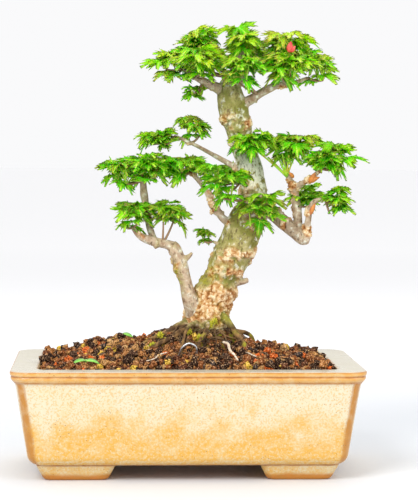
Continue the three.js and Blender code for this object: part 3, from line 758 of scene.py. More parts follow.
@dataclass
class Pot:
    """The glazed stoneware pot: one wall with a wide flat lip, on four bevelled feet.

    Sizes in metres. length, depth and height come from the frame.
    """

    taper: float = 11.8 * MM
    wall: float = 9 * MM
    floor: float = 9 * MM
    corner: float = 17 * MM
    lip_width: float = 25 * MM
    lip_height: float = 10.5 * MM
    overhang: float = 4.5 * MM
    foot_height: float = 14 * MM
    foot_size: tuple[float, float] = (71 * MM, 48 * MM)
    foot_bevel: float = 7 * MM
    foot_setback: float = 6.5 * MM
    hem: tuple[float, float] = (8.2 * MM, 9 * MM)
    hole_spacing: float = 150 * MM
    hole_radius: float = 11 * MM
    band: float = 9.5 * MM
    bead: tuple[tuple[float, float], ...] = (
        (1.04, -2.6), (0.96, -1.5), (0.85, -0.6), (0.73, 0.1),
        (0.58, 0.9), (0.42, 1.8), (0.27, 2.9), (0.2, 3.5),
    )
    straight: tuple[int, int] = (110, 70)
    corner_steps: int = 16

    def __post_init__(self) -> None:
        """Takes the overall sizes from the CAD pot."""
        self.half_x, self.half_y, self.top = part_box("pot")[1]
        self.lip_bottom = self.top - self.lip_height

    def wall_inset(self, z: Array) -> Array:
        """How far the wall stands in from the lip's edge: the overhang plus a straight taper."""
        return self.overhang + self.taper * (self.lip_bottom - z) / (self.lip_bottom - self.foot_height)

    def corner_radius(self, inset: Array) -> Array:
        """The radius of the pot's upright corners, which shrinks a little as the outline does."""
        return np.maximum(self.corner - 0.3 * inset, 2 * MM)

    def profile(self) -> tuple[Array, Array]:
        """Inset and height along the pot's section, from the middle of the underside round to the inside.

        Returns:
            (r,) insets from the lip's edge and (r,) heights.
        """
        base, under = self.foot_height, self.lip_bottom
        foot_in = float(self.wall_inset(np.array(base)))
        floor_top = base + self.floor
        reach = min(self.half_x, self.half_y)
        turn = np.linspace(0, math.pi / 2, 12)
        hem_z = base + self.hem[1] * (1 - np.cos(turn))
        hem_in = self.wall_inset(hem_z) + self.hem[0] * (1 - np.sin(turn))
        wall_z = np.linspace(base + self.hem[1] + 2 * MM, under - 4.2 * MM, 32)
        inner_z = np.linspace(under - self.lip_height, floor_top + 6 * MM, 12)
        points = [
            (reach - 3 * MM, base), (reach * 0.6, base), (foot_in + 16 * MM, base),
            *zip(hem_in, hem_z), *zip(self.wall_inset(wall_z), wall_z),
            *((self.overhang * share, under + lift * MM) for share, lift in self.bead),
            (0.75 * MM, under + 4.1 * MM), (0.75 * MM, under + 4.8 * MM), (1.0 * MM, under + 5.35 * MM),
            (1.15 * MM, under + 5.75 * MM), (0.95 * MM, under + 6.15 * MM), (0.5 * MM, under + 6.6 * MM),
            (0.25 * MM, under + 7.3 * MM), (0.05 * MM, under + 8.2 * MM), (0.0, under + 9.0 * MM),
            (0.2 * MM, self.top - 0.8 * MM), (0.7 * MM, self.top - 0.25 * MM), (1.7 * MM, self.top),
            (7 * MM, self.top), (12 * MM, self.top), (17 * MM, self.top),
            (self.lip_width - 3.0 * MM, self.top), (self.lip_width - 1.4 * MM, self.top - 0.2 * MM),
            (self.lip_width - 0.5 * MM, self.top - 0.7 * MM), (self.lip_width, self.top - 1.7 * MM),
            (self.lip_width, self.top - 4 * MM), (self.lip_width - 0.4 * MM, under + 2 * MM),
            *zip(self.wall_inset(inner_z) + self.wall, inner_z),
            (foot_in + self.wall + 3 * MM, floor_top + 2 * MM), (foot_in + self.wall + 7 * MM, floor_top),
            (reach * 0.6, floor_top), (reach - 3 * MM, floor_top),
        ]
        inset, height = np.array(points).T
        return inset, height

    def values(self, vertices: Array) -> dict[str, Array]:
        """Where the glaze turns golden, breaks and pools, the lip's top and the bare clay, with painted shade
        under the lip and at the joint over the feet and a painted highlight along the hem, at each vertex.

        A corner band is where the wall's normal turns away from both axes: the distance round the
        corner from its middle is under half the band. A line is 1 within a given distance of an edge
        and fades over 0.5 mm.

        Args:
            vertices: (n, 3) places on the pot.

        Returns:
            The values by name, each (n,).
        """
        x, y, z = np.abs(vertices[:, 0]), np.abs(vertices[:, 1]), vertices[:, 2]
        inset = np.where(z < self.lip_bottom, self.wall_inset(z), 0.0)
        radius = self.corner_radius(inset)
        dx = x - (self.half_x - inset - radius)
        dy = y - (self.half_y - inset - radius)
        turn = np.arctan2(np.maximum(dy, 0), np.maximum(dx, 0))
        off = radius * np.abs(turn - math.pi / 4)
        wobble = 0.6 * MM * fractal_noise(vertices, 9 * MM, 3, 5)
        corner = (dx > 0) & (dy > 0)
        half_band = self.band / 2 - wobble
        on_corner = np.clip((half_band - off) / (0.9 * MM), 0, 1) * corner
        outside = np.maximum(x - (self.half_x - 24 * MM), y - (self.half_y - 24 * MM)) > 0
        rise = z - self.lip_bottom
        face = np.clip((rise + 0.4 * MM + wobble) / (0.8 * MM), 0, 1) * (z < self.top - 0.2 * MM)
        pooled = 0.5 + 0.5 * np.cos((rise - 4.0 * MM) / (5.2 * MM) * 2 * math.pi)
        noise = fractal_noise(vertices, 14 * MM, 3, 21)
        wall = (z > self.foot_height + 1 * MM) & (rise < 0)
        low = np.clip(1.06 - (z - self.foot_height) / (62 * MM) + 0.34 * noise, 0, 1)
        # A painted highlight: a paler line along the wall's rounded lower edge, made by lowering low there.
        hem = np.clip(1 - np.abs(z - self.foot_height - 4.4 * MM + wobble) / (1.6 * MM), 0, 1)
        # Dark lines on the lip's face: the lowest, at the lip's underside, is painted shade under the lip;
        # the two higher ones are darker glaze in the groove and just under the top.
        edges = np.array([(0.25, 0.95), (5.75, 0.9), (9.75, 0.6)]) * MM
        lines = np.clip(1.4 - np.abs(rise[:, None] + wobble[:, None] * 0.3 - edges[:, 0]) / edges[:, 1], 0, 1)
        # The dark line where the wall meets the feet: partly a dark glaze line, partly painted shade in the
        # joint.
        joint_line_and_shade = np.clip(1.5 - np.abs(z - self.foot_height - 0.3 * MM) / (0.8 * MM), 0, 1)
        rim = np.clip(1 - np.abs(off - half_band) / (0.9 * MM), 0, 1) * corner * wall
        below = z < self.foot_height - 0.3 * MM
        foot_edge = self.foot_height * 0.50 + 1.4 * wobble
        inner = np.clip((self.top - 1.2 * MM - z) / (1 * MM), 0, 1) * ~outside * ~below
        shade = np.maximum.reduce([(lines * (0.85, 1.0, 0.8)).max(axis=1) * outside, joint_line_and_shade, 0.75 * rim])
        glued = np.abs(z - self.foot_height) < 0.1 * MM
        return {
            "low": np.where(wall, low * (1 - 0.6 * hem), np.where(below, 0.55 + 0.25 * noise, 0.3)),
            "face": np.clip(face * (0.72 + 0.28 * pooled) * outside + 0.8 * inner, 0, 1),
            "band": np.clip(on_corner * wall, 0, 1),
            "line": np.clip(shade, 0, 1) * (z < self.top - 0.2 * MM),
            "lip": np.clip((z - self.top + 0.5 * MM) / (0.4 * MM), 0, 1),
            "bare": np.maximum(np.clip((foot_edge - z) / (3.0 * MM), 0, 1), glued),
        }

    def foot(self, side_x: int, side_y: int) -> Surface:
        """One foot: a rounded block whose sides lean in towards the floor.

        Args:
            side_x: -1 for the left and 1 for the right.
            side_y: -1 for the front and 1 for the back.

        Returns:
            The closed foot.
        """
        outer = float(self.wall_inset(np.array(self.foot_height))) + self.foot_setback
        heights = np.array([0, 0.3, 0.9, 1.8, 3, 4.2, 5.6, 7, 8.5, 10, 11.2, 12.2, 13, 13.8, 14.6]) * MM
        rise = np.clip(heights / self.foot_height, 0, 1)
        lean = self.foot_bevel * (1 - rise) ** 1.15
        lean[:3] += np.array([1.5, 0.6, 0.15]) * MM
        half_x = self.foot_size[0] / 2 - lean
        half_y = self.foot_size[1] / 2 - lean
        flat = rounded_outline(half_x, half_y, np.full(len(rise), 7 * MM), 6, (24, 14))
        flat[..., 0] += side_x * (self.half_x - outer - self.foot_size[0] / 2)
        flat[..., 1] += side_y * (self.half_y - outer - self.foot_size[1] / 2)
        return closed_profile(flat, heights)

    def build(self) -> bpy.types.Object:
        """Lofts the wall, adds the feet and drills the two drainage holes."""
        inset, height = self.profile()
        halves = self.half_x - inset, self.half_y - inset
        outline = rounded_outline(*halves, self.corner_radius(inset), self.corner_steps, self.straight)
        feet = [self.foot(sx, sy) for sx in (-1, 1) for sy in (-1, 1)]
        drills = self.drills()
        pot = closed_profile(outline, height).make("pot_body")
        bite = pot.modifiers.new("drainage", "BOOLEAN")
        bite.operation = "DIFFERENCE"
        bite.object = drills
        mesh = evaluated(pot)
        pot.modifiers.clear()
        pot.data = mesh
        bpy.data.objects.remove(drills)
        supports = Surface.joined(feet).make("feet")
        with bpy.context.temp_override(active_object=pot, selected_editable_objects=[pot, supports]):
            bpy.ops.object.join()
        places = column(pot.data.vertices, "co", 3)
        swell = 0.18 * MM * fractal_noise(places, 26 * MM, 2, 3)
        sideways = np.abs(places[:, 2] - self.top) > 1.5 * MM
        places[:, 1] += swell * np.sign(places[:, 1]) * sideways * (places[:, 2] > self.foot_height)
        pot.data.vertices.foreach_set("co", places.astype(np.float32).ravel())
        write_values(pot.data, self.values(places))
        pot.data.polygons.foreach_set("use_smooth", np.ones(len(pot.data.polygons), bool))
        pot.data.materials.clear()
        pot.data.materials.append(GlazeFinish().material())
        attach(pot, "root")
        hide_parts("pot")
        return pot

    def drills(self) -> bpy.types.Object:
        """Two upright rods through the floor, to cut the drainage holes."""
        ends = np.array([self.foot_height - 6 * MM, self.foot_height + self.floor + 6 * MM])
        x = np.array([-1, 1]) * self.hole_spacing / 2
        paths = np.stack([np.repeat(x[:, None], 2, 1), np.zeros((2, 2)), np.tile(ends, (2, 1))], axis=-1)
        return tubes(paths, np.full((2, 2), self.hole_radius), 28).make("drills")


# ------------------------------------------------------------------ earth


@dataclass
class SoilBed:
    """The earth in the pot: a body that fills the inside and domes up towards the trunk.

    A hump is its centre x and y, its radius and its height in millimetres.
    """

    pot: Pot
    edge: float = -2.5 * MM
    rise: float = 15.5 * MM
    gap: float = 0.3 * MM
    humps: tuple[tuple[float, float, float, float], ...] = (
        (-76, 46, 32, 7.5), (-38, 30, 24, 3.0), (58, -20, 26, 1.8), (-60, -28, 26, 2.0), (-118, 30, 20, -1.5),
    )
    mound: tuple[float, float, float, float] = (12 * MM, 42 * MM, 32 * MM, 21 * MM)

    def top(self, places: Array) -> Array:
        """Height of the surface at (n, 2) places: a dome, its humps, the root ball and small swells.

        The dome is rim + edge + rise (1 - u^2)(1 - v^2), with u and v from 0 at the middle to 1 at the lip.

        Args:
            places: (n, 2) x and y.

        Returns:
            (n,) heights.
        """
        half = np.array([self.pot.half_x, self.pot.half_y]) - self.pot.lip_width
        u, v = np.minimum(np.abs(places) / half, 1).T
        dome = (1 - u * u) * (1 - v * v)
        rim = np.sqrt(dome)
        spread = np.array(self.humps) * MM
        away = np.linalg.norm(places[:, None] - spread[None, :, :2], axis=2) / spread[:, 2]
        humps = (spread[:, 3] * np.exp(-away * away)).sum(axis=1)
        flat = np.column_stack([places, np.zeros(len(places))])
        swell = 1.5 * MM * fractal_noise(flat, 17 * MM, 3, 77)
        soft = np.minimum(rim * 3, 1)
        ball = self.mound[3] * self.matted(places)
        return RIM + self.edge + self.rise * dome + soft * (humps + swell) + ball

    def matted(self, places: Array) -> Array:
        """How much of the root ball stands at (n, 2) places: exp(-r^3), r being 1 at its shoulder."""
        middle, long, deep, _ = self.mound
        return np.exp(-np.hypot((places[:, 0] - middle) / long, places[:, 1] / deep) ** 3)

    def build(self) -> bpy.types.Object:
        """Closes the body: underside, sides that follow the pot's inside, and the top."""
        pot = self.pot
        base = pot.foot_height + pot.floor + self.gap
        reach = pot.half_y - 3 * MM
        wall_z = np.linspace(base + 4 * MM, pot.lip_bottom - 6 * MM, 14)
        wall_in = pot.wall_inset(wall_z) + pot.wall + self.gap
        grid_in = np.arange(pot.lip_width + 1.2 * MM, reach, 1.5 * MM)
        top_in = np.concatenate([[pot.lip_width + 0.25 * MM], grid_in])
        edge_in, edge_z = [pot.lip_width + self.gap] * 2, [pot.lip_bottom + 1 * MM, RIM - 6 * MM]
        inset = np.concatenate([[reach, wall_in[0] + 6 * MM], wall_in, edge_in, top_in])
        height = np.concatenate([[base, base], wall_z, edge_z, np.zeros(len(top_in))])
        radius = pot.corner_radius(inset)
        outline = rounded_outline(pot.half_x - inset, pot.half_y - inset, radius, 8, (110, 60))
        level = np.repeat(height[:, None], outline.shape[1], axis=1)
        crown = len(inset) - len(top_in)
        shape = outline[crown:].reshape(-1, 2)
        rough = 0.7 * MM * fractal_noise(np.column_stack([shape, np.zeros(len(shape))]), 4 * MM, 2, 9)
        level[crown:] = (self.top(shape) + rough - 0.6 * MM).reshape(outline[crown:].shape[:2])
        body = closed_profile(outline, level)
        body.values = {"matted": self.matted(body.vertices[:, :2]) * (body.vertices[:, 2] > RIM)}
        bed = body.make("soil_bed")
        bed.data.materials.append(EarthFinish().fines())
        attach(bed, "root")
        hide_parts("soil")
        return bed


def turns(rng: np.random.Generator, count: int) -> Array:
    """Random rotations (count, 3, 3) from uniform unit quaternions.

    Args:
        rng: the source of the rotations.
        count: how many.

    Returns:
        (count, 3, 3) matrices.
    """
    w, x, y, z = unit(rng.normal(size=(count, 4))).T
    rows = [
        [1 - 2 * (y * y + z * z), 2 * (x * y - z * w), 2 * (x * z + y * w)],
        [2 * (x * y + z * w), 1 - 2 * (x * x + z * z), 2 * (y * z - x * w)],
        [2 * (x * z - y * w), 2 * (y * z + x * w), 1 - 2 * (x * x + y * y)],
    ]
    return np.array(rows).transpose(2, 0, 1)


def pebble() -> Surface:
    """A closed block of 24 quads: a 3 x 3 grid on each face of a cube, pushed out towards a ball.

    A point p of the cube goes to p (0.45 + 0.55 / |p|).
    """
    steps = np.array([-1.0, 0.0, 1.0])
    s, t = np.meshgrid(steps, steps, indexing="ij")
    one = np.ones_like(s)
    sheets = [(one, s, t), (-one, t, s), (t, one, s), (s, -one, t), (s, t, one), (t, s, -one)]
    corners = np.concatenate([np.stack(sheet, axis=-1).reshape(-1, 3) for sheet in sheets])
    places, index = np.unique(corners.round(6), axis=0, return_inverse=True)
    index = index.reshape(-1)
    i, j = np.meshgrid([0, 1], [0, 1], indexing="ij")
    cell = (i * 3 + j).ravel()
    quad = np.stack([cell, cell + 3, cell + 4, cell + 1], axis=1)
    quads = index[(quad[None] + 9 * np.arange(6)[:, None, None]).reshape(-1, 4)]
    size = np.linalg.norm(places, axis=1, keepdims=True)
    return Surface(places * (0.45 + 0.55 / size), quads)


@dataclass
class Granules:
    """Loose granules of fired clay, lava and bark that cover the earth, all in one piece."""

    bed: SoilBed
    spacing: float = 4.5 * MM
    margin: float = 2.6 * MM
    loose: int = 620
    seed: int = 41

    def places(self, rng: np.random.Generator) -> Array:
        """(n, 3) columns x, y and layer: a shaken triangular grid, and a thin second layer on it.

        Args:
            rng: the source of the scatter.

        Returns:
            The kept places.
        """
        pot = self.bed.pot
        half = np.array([pot.half_x, pot.half_y]) - pot.lip_width - self.margin
        across, up = np.ceil(half / self.spacing).astype(int) * np.array([1, 2])
        i, j = np.meshgrid(np.arange(-across, across + 1), np.arange(-up, up + 1), indexing="ij")
        grid = np.stack([(i + 0.5 * (j % 2)).ravel(), j.ravel() * 0.866], axis=1) * self.spacing
        grid += rng.uniform(-0.34, 0.34, grid.shape) * self.spacing
        upper = rng.uniform(-1, 1, (self.loose, 2)) * half
        flat = np.concatenate([grid, upper])
        layer = np.r_[np.zeros(len(grid)), np.ones(self.loose)]
        inside = (np.abs(flat) < half).all(axis=1)
        kept = rng.uniform(0, 1, len(flat)) > self.bed.matted(flat) * (1.4 + 4 * layer)
        return np.column_stack([flat, layer])[inside & kept]

    def build(self) -> bpy.types.Object:
        """Scatters turned and squashed pebbles over the bed; tone is one number per granule."""
        rng = np.random.default_rng(self.seed)
        at = self.places(rng)
        count = len(at)
        shape = pebble()
        radius = 0.5 * MM * rng.gamma(9.0, 0.52, count).clip(2.7, 7.4)
        scale = radius[:, None] * rng.uniform(0.68, 1.2, (count, 3))
        bumps = rng.uniform(0.70, 1.20, (count, len(shape.vertices), 1))
        local = shape.vertices[None] * bumps * scale[:, None]
        turned = np.einsum("nij,nvj->nvi", turns(rng, count), local)
        level = self.bed.top(at[:, :2]) + radius * (0.25 + 1.25 * at[:, 2])
        centre = np.column_stack([at[:, :2], level + rng.uniform(-0.5, 0.9, count) * MM])
        vertices = (turned + centre[:, None]).reshape(-1, 3)
        stride = len(shape.vertices)
        quads = (shape.quads[None] + (np.arange(count) * stride)[:, None, None]).reshape(-1, 4)
        tone = np.repeat(rng.uniform(0, 1, count), stride)
        grit = Surface(vertices, quads, values={"tone": tone}).make("granules", smooth=False)
        grit.data.materials.append(EarthFinish().granules())
        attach(grit, "root")
        return grit


# ------------------------------------------------------------------ wood

LIMBS: dict[str, Route] = {
    "trunk": (
        (19, 0, -12, 20), (18.5, 0, 12, 20.5), (18, 0, 26, 19.2), (18.5, 0, 37, 18.8), (21, 1, 47, 18.2),
        (25.5, 2, 59, 16.8), (31, 3, 73, 16.9), (39, 2, 90.5, 18), (47.5, 0, 109, 18.5),
        (55, -2, 126.5, 17.5), (61, -2, 142, 15.3), (62.5, 0, 156, 13), (60.5, 3, 170, 11.6),
        (57.5, 4, 184, 11.1),
        (52.5, 4, 198, 11.2), (49, 2, 212, 12.2), (45.5, 0, 225, 13.1), (41.5, -1, 240, 12.8),
        (40, 0, 251, 11.2), (41, 0, 260, 7.8),
    ),
    "trunk_stub": ((42, 0, 71, 4), (53, -2, 73.5, 3), (58, -3, 75, 2.4)),
    "trunk_sprout": ((38, -4, 105, 3.4), (30, -6, 108.5, 1.9), (24, -6, 111, 1.4)),
    "second_trunk": (
        (22, 0, 24, 9), (17, -2, 33, 8.5), (8.5, -6, 44, 7.8), (3.5, -9, 57, 6.8), (-0.5, -10, 73, 6.2),
        (-4.5, -10, 87, 6.3), (-9.5, -8, 101, 6.3), (-14, -6, 108, 5.6),
    ),
    "second_trunk_twig": ((-1, -10, 95, 3), (3, -13, 98, 2), (5, -14, 101, 1.4)),
    "branch_left_low": (
        (-8, -7, 100, 5.2), (-12.5, -6, 106, 4.8), (-20, -8, 108.5, 4.2), (-30, -10, 111, 4),
        (-39, -12, 114, 3.7), (-45, -12, 118, 2.9), (-50, -12, 124, 1.8),
    ),
    "branch_left_riser": (
        (-26, -10, 106, 3.6), (-29, -8, 110, 3.3), (-34, 0, 124, 3.3), (-36.5, 4, 139, 3.3),
        (-39, 2, 154, 3.5), (-40, 0, 165, 3), (-42, 0, 177, 1.9),
    ),
    "branch_left_middle": (
        (53, 1, 119, 5), (48, 0, 122, 4.4), (34, -6, 132, 3.7), (26, -8, 144, 3.2), (19.5, -8, 154.5, 2.8),
        (13, -6, 165, 2.4), (3, -5, 175, 2),
    ),
    "branch_left_middle_twig": ((34, -6, 132, 2.4), (28, -9, 136, 1.8), (22, -12, 139, 1.2)),
    "branch_left_upper": (
        (57, 0, 173, 3.4), (37.5, 4, 184, 2.6), (21, 4, 193, 2.1), (9.5, 0, 199, 1.9), (1, 0, 203, 1.9),
        (-10, 0, 208, 1.5),
    ),
    "branch_right": (
        (60.5, 0, 142, 8.3), (75, -6, 140.5, 6.9), (87, -12, 131, 6.4), (98, -16, 121, 6.4),
        (107, -18, 115.5, 6.8), (113, -18, 114.5, 4.6),
    ),
    "branch_right_inner": (
        (103, -17, 118, 4.2), (102.5, -14, 134, 4), (101, -12, 148, 4), (99, -10, 159, 4.2),
        (95.5, -10, 167, 3.2), (92.5, -9, 176, 2.4), (91, -8, 188, 1.8),
    ),
    "branch_right_twig": (
        (99, -10, 160, 3), (106, -16, 165, 2.6), (114, -23, 170, 2.4), (122, -30, 179, 1.8),
    ),
    "branch_right_outer": (
        (109, -19, 117, 3.9), (111, -24, 131, 3.2), (112.5, -26, 142, 2.7), (117, -28, 149, 2.4),
        (126, -31, 151, 1.8),
    ),
    "branch_front": ((57, 0, 134, 6.5), (56.5, -18, 138, 4.6), (56, -32, 143, 3.6), (53, -44, 150, 2.3)),
    "branch_back": ((60, 0, 149, 6), (58, 18, 154, 4.2), (55, 30, 161, 3.2), (54, 40, 168, 2.2)),
    "branch_crown_left": (
        (40, 0, 247, 6.5), (27, -4, 253, 5), (16.5, -8, 257.5, 4.2), (6.5, -10, 263, 3.3),
        (-4, -10, 270, 1.8),
    ),
    "branch_crown_right": (
        (44, 0, 234, 5.6), (57.5, -4, 241, 4.6), (70, -8, 249, 4.1), (83, -10, 255, 3.1),
        (98, -12, 257.5, 2.2), (111, -12, 262, 1.7),
    ),
    "branch_crown_leader": ((41, 0, 256, 7.4), (46, 4, 269, 5.6), (50, 6, 281, 4.1), (52, 6, 291, 2.2)),
    "branch_crown_back": (
        (42, 0, 248.5, 6), (48.5, 16, 258.5, 4.7), (56, 30, 268.5, 3.8), (61, 42, 277, 2.3),
    ),
}
ROOTS: dict[str, Route] = {
    "root_left": (
        (6, -4, 34, 6.5), (-6.5, -8, 32, 4.2), (-16, -12, 27, 2.8), (-27, -14, 23, 2.2), (-38, -16, 18, 1.9),
        (-47, -18, 11.5, 1.6), (-54, -19, 4, 1.4),
    ),
    "root_left_front": (
        (8, -10, 30, 5.5), (-5, -20, 28, 3.3), (-16, -26, 22.5, 2.6), (-27, -30, 17.5, 2.2),
        (-36, -33, 11.5, 1.8), (-43, -35, 4, 1.5),
    ),
    "root_right": (
        (26, -5, 44, 5.5), (35, -12, 41, 4.2), (41, -16, 34, 3.3), (47, -20, 25, 3), (53, -24, 16, 2.9),
        (59, -28, 8.5, 2.4), (64, -31, 1, 2),
    ),
    "root_right_back": (
        (26, 5, 33, 6.5), (41, 12, 27, 3.7), (50, 14, 20.5, 3), (60, 16, 12, 2.4), (69, 18, 3, 1.9),
    ),
    "root_hook": (
        (41, 12, 27, 2.6), (50, 19, 25, 2.4), (58, 20, 23.5, 2.2), (63, 18, 20, 2), (66, 15, 11, 1.6),
        (66, 14, 2, 1.3),
    ),
    "root_front_left": (
        (12, -12, 33, 3.4), (5, -25, 36, 2.2), (0, -34, 32, 1.9), (-3, -40, 25, 1.6), (-5, -43, 16, 1.4),
        (-6, -45, 4, 1.2),
    ),
    "root_front": (
        (20, -13, 36, 3.4), (19, -27, 34, 2), (16, -34, 28.5, 1.7), (11.5, -38, 22, 1.6), (9, -41, 14, 1.4),
        (8, -42, 3, 1.3),
    ),
    "root_back_left": (
        (12, 8, 33, 7), (2, 20, 28, 4.5), (-8, 30, 21, 3.2), (-18, 38, 12, 2.4), (-26, 44, 1, 1.8),
    ),
    "root_back_right": (
        (24, 9, 32, 6), (32, 24, 27, 4), (38, 36, 19, 3), (42, 46, 9, 2.2), (45, 54, -1, 1.7),
    ),
}


def placed(route: Route) -> Array:
    """A route in metres from the floor: (n, 4) columns x, y, z and radius."""
    points = np.array(route, float) * MM
    points[:, 2] += RIM
    return points


@dataclass
class Bark:
    """Each vertex of the fused wood: its place, and the middle, radius, run and route of its limb there."""

    places: Array
    middle: Array
    radius: Array
    run: Array
    owner: Index

    def __post_init__(self) -> None:
        """Works out the height over the rim and which limb a vertex is on."""
        names = [*LIMBS, *ROOTS]
        self.height = self.places[:, 2] - RIM
        self.is_root = self.owner >= len(LIMBS)
        self.on_trunk = self.owner == names.index("trunk")
        self.on_second = self.owner == names.index("second_trunk")


@dataclass
class Wood:
    """Trunks, branches and surface roots, fused into one naturally grown body.

    A burr is its place along the trunk (height over the rim), half-height and swelling, in millimetres.
    A scale of knobs is its cell in millimetres, its share and its seed.
    """

    step: float = 1.6 * MM
    sides: int = 18
    voxel: float = 1.0 * MM
    batch: int = 8000
    burrs: tuple[tuple[float, float, float], ...] = (
        (221, 5, 1.0), (201, 3, 0.7), (154, 9, 1.7), (128, 3, 0.6),
        (99, 7, 1.3), (82, 5, 0.8), (60, 13, 1.5), (42, 8, 1.3),
    )
    knobs: tuple[tuple[float, float, int], ...] = ((5.5, 0.45, 28), (3.2, 0.75, 8), (1.9, 0.45, 18))
    flutes: float = 0.8 * MM

    def stations(self) -> tuple[Array, Array, Array]:
        """Fine points along every route.

        Returns:
            (n, 4) places and radii, (n,) distances along the route, and (n,) route numbers.
        """
        rows, run, owner = [], [], []
        for number, route in enumerate([*LIMBS.values(), *ROOTS.values()]):
            points = placed(route)
            length = np.linalg.norm(np.diff(points[:, :3], axis=0), axis=1).sum()
            fine = spline(points, max(int(length / self.step), 6))
            fine[:, 3] = np.maximum(fine[:, 3], 1.1 * MM)
            steps = np.linalg.norm(np.diff(fine[:, :3], axis=0), axis=1)
            rows.append(fine)
            run.append(np.r_[0, np.cumsum(steps)])
            owner.append(np.full(len(fine), number))
        return np.concatenate(rows), np.concatenate(run), np.concatenate(owner)

    def sweeps(self, fine: Array, owner: Array) -> Surface:
        """Round tubes along every route, with a slow wander of the radius.

        Args:
            fine: (n, 4) places and radii.
            owner: (n,) each station's route.

        Returns:
            The tubes, one for each route.
        """
        wander = 1 + 0.10 * fractal_noise(fine[:, :3], 11 * MM, 2, 15)
        rows = [
            tubes(fine[None, owner == k, :3], (fine[:, 3] * wander)[None, owner == k], self.sides)
            for k in range(owner.max() + 1)
        ]
        return Surface.joined(rows)

    def fused(self, sweeps: Surface) -> bpy.types.Mesh:
        """The sweeps turned into one skin by a voxel remesh and smoothed where they meet.

        Args:
            sweeps: the tubes, which cross each other.

        Returns:
            The fused mesh.
        """
        rough = sweeps.make("sweeps")
        melt = rough.modifiers.new("melt", "REMESH")
        melt.mode = "VOXEL"
        melt.voxel_size = self.voxel
        ease = rough.modifiers.new("ease", "SMOOTH")
        ease.factor, ease.iterations = 0.5, 3
        skin = evaluated(rough)
        bpy.data.objects.remove(rough)
        return skin

    def nearest(self, places: Array, fine: Array) -> Array:
        """The station whose bark is nearest to each place: least distance to the line less its radius.

        Args:
            places: (n, 3) vertices.
            fine: (m, 4) stations.

        Returns:
            (n,) numbers of the stations.
        """
        found = []
        for part in np.array_split(places, math.ceil(len(places) / self.batch)):
            gap = np.linalg.norm(part[:, None] - fine[None, :, :3], axis=2) - fine[:, 3]
            found.append(np.argmin(gap, axis=1))
        return np.concatenate(found)

    def carve(self, bark: Bark) -> tuple[Array, dict[str, Array]]:
        """How far the bark stands out at each vertex, and the burrs, knobs and creases that do it.

        A burr band is exp(-x^2), with x the height from its middle over its half-height. Burrs come in
        clumps, and a crease is where a noise stretched along the limb crosses zero.

        Args:
            bark: the vertices of the fused wood.

        Returns:
            (n,) lifts in metres, and the values by name.
        """
        places, height = bark.places, bark.height
        grain = (places - bark.middle) + np.outer(bark.run * 0.28, (0, 0, 1)) + bark.owner[:, None] * 0.05
        thick = np.clip((bark.radius - 2 * MM) / (10 * MM), 0, 1)
        bands = np.array(self.burrs) * MM
        wave = 5 * MM * lattice_noise(places, 15 * MM, 31)
        reach = np.exp(-(((height + wave)[:, None] - bands[:, 0]) / bands[:, 1]) ** 2)
        clumps = np.clip(0.42 + 1.9 * fractal_noise(places, 8 * MM, 3, 12), 0, 1)
        nearly_base = np.clip((72 * MM - height) / (10 * MM), 0, 1)
        on_burr = np.clip(reach.sum(axis=1), 0, 1) * bark.on_trunk * np.maximum(clumps, nearly_base)
        spots = np.clip(3.2 * (fractal_noise(places, 11 * MM, 2, 44) - 0.42), 0, 1)
        scars = spots * ~bark.on_trunk * ~bark.is_root * (height > 30 * MM)
        burr = np.clip(1.6 * np.maximum(on_burr, scars), 0, 1)
        sizes, shares, seeds = zip(*self.knobs)
        cells = np.abs([lattice_noise(places, size * MM, seed) for size, seed in zip(sizes, seeds)])
        # knob raises the burrs' lumps, and the bark finish also reads it to paint shade in their hollows and
        # highlights on their tops.
        knob = np.clip(np.array(shares) @ np.minimum(cells * 1.5, 1), 0, 1)
        crack = fractal_noise(grain, 3.4 * MM, 3, 8)
        crease = np.clip(1 - np.abs(crack) / 0.09, 0, 1) * thick * (1 - burr) * 0.8
        flute = self.flutes * thick * lattice_noise(grain * (1, 1, 0.5), 9 * MM, 4)
        swelling = (reach * bands[:, 2]).sum(axis=1) * bark.on_trunk * clumps
        scale_bark = 0.3 * MM * fractal_noise(grain, 3.0 * MM, 2, 19) * (0.25 + 0.75 * thick)
        lift = swelling + flute + scale_bark - 0.5 * MM * crease + (3.2 * knob - 1.3) * MM * burr
        return lift, {"burr": burr, "knob": knob, "crease": crease}

    def tints(self, bark: Bark) -> dict[str, Array]:
        """Where the wood is root bark, mossy, young or whitish, at each vertex; the whitish band is partly
        whitish bark and partly painted light on the trunk under the pads.

        Args:
            bark: the vertices of the fused wood.

        Returns:
            The values by name, each (n,).
        """
        places, height = bark.places, bark.height
        blotch = fractal_noise(places, 9 * MM, 3, 63)
        left = np.clip((bark.middle[:, 0] - places[:, 0]) / bark.radius, 0, 1)
        lichen = 1.2 * left * np.exp(-(((height - 80 * MM) / (14 * MM)) ** 2))
        lichen += 0.5 * np.clip(blotch - 0.4, 0, 1)
        foot = np.exp(-(((height - 40 * MM) / (7 * MM)) ** 2)) * (places[:, 0] > 24 * MM)
        mossy_root = bark.is_root * (height < 30 * MM) * np.clip(blotch - 0.2, 0, 1)
        slim = np.clip((9 * MM - bark.radius) / (2 * MM), 0, 1)
        return {
            "root": bark.is_root * np.clip((40 * MM - height) / (8 * MM), 0, 1),
            "moss": np.clip(lichen + 0.6 * foot + mossy_root, 0, 1),
            "young": np.maximum(slim, bark.on_second) * ~bark.is_root,
            # More white flakes on the trunk under the pads: partly whitish bark, partly painted light where
            # the pads shade it.
            "white": np.exp(-(((height - 180 * MM) / (26 * MM)) ** 2)) * bark.on_trunk,
        }

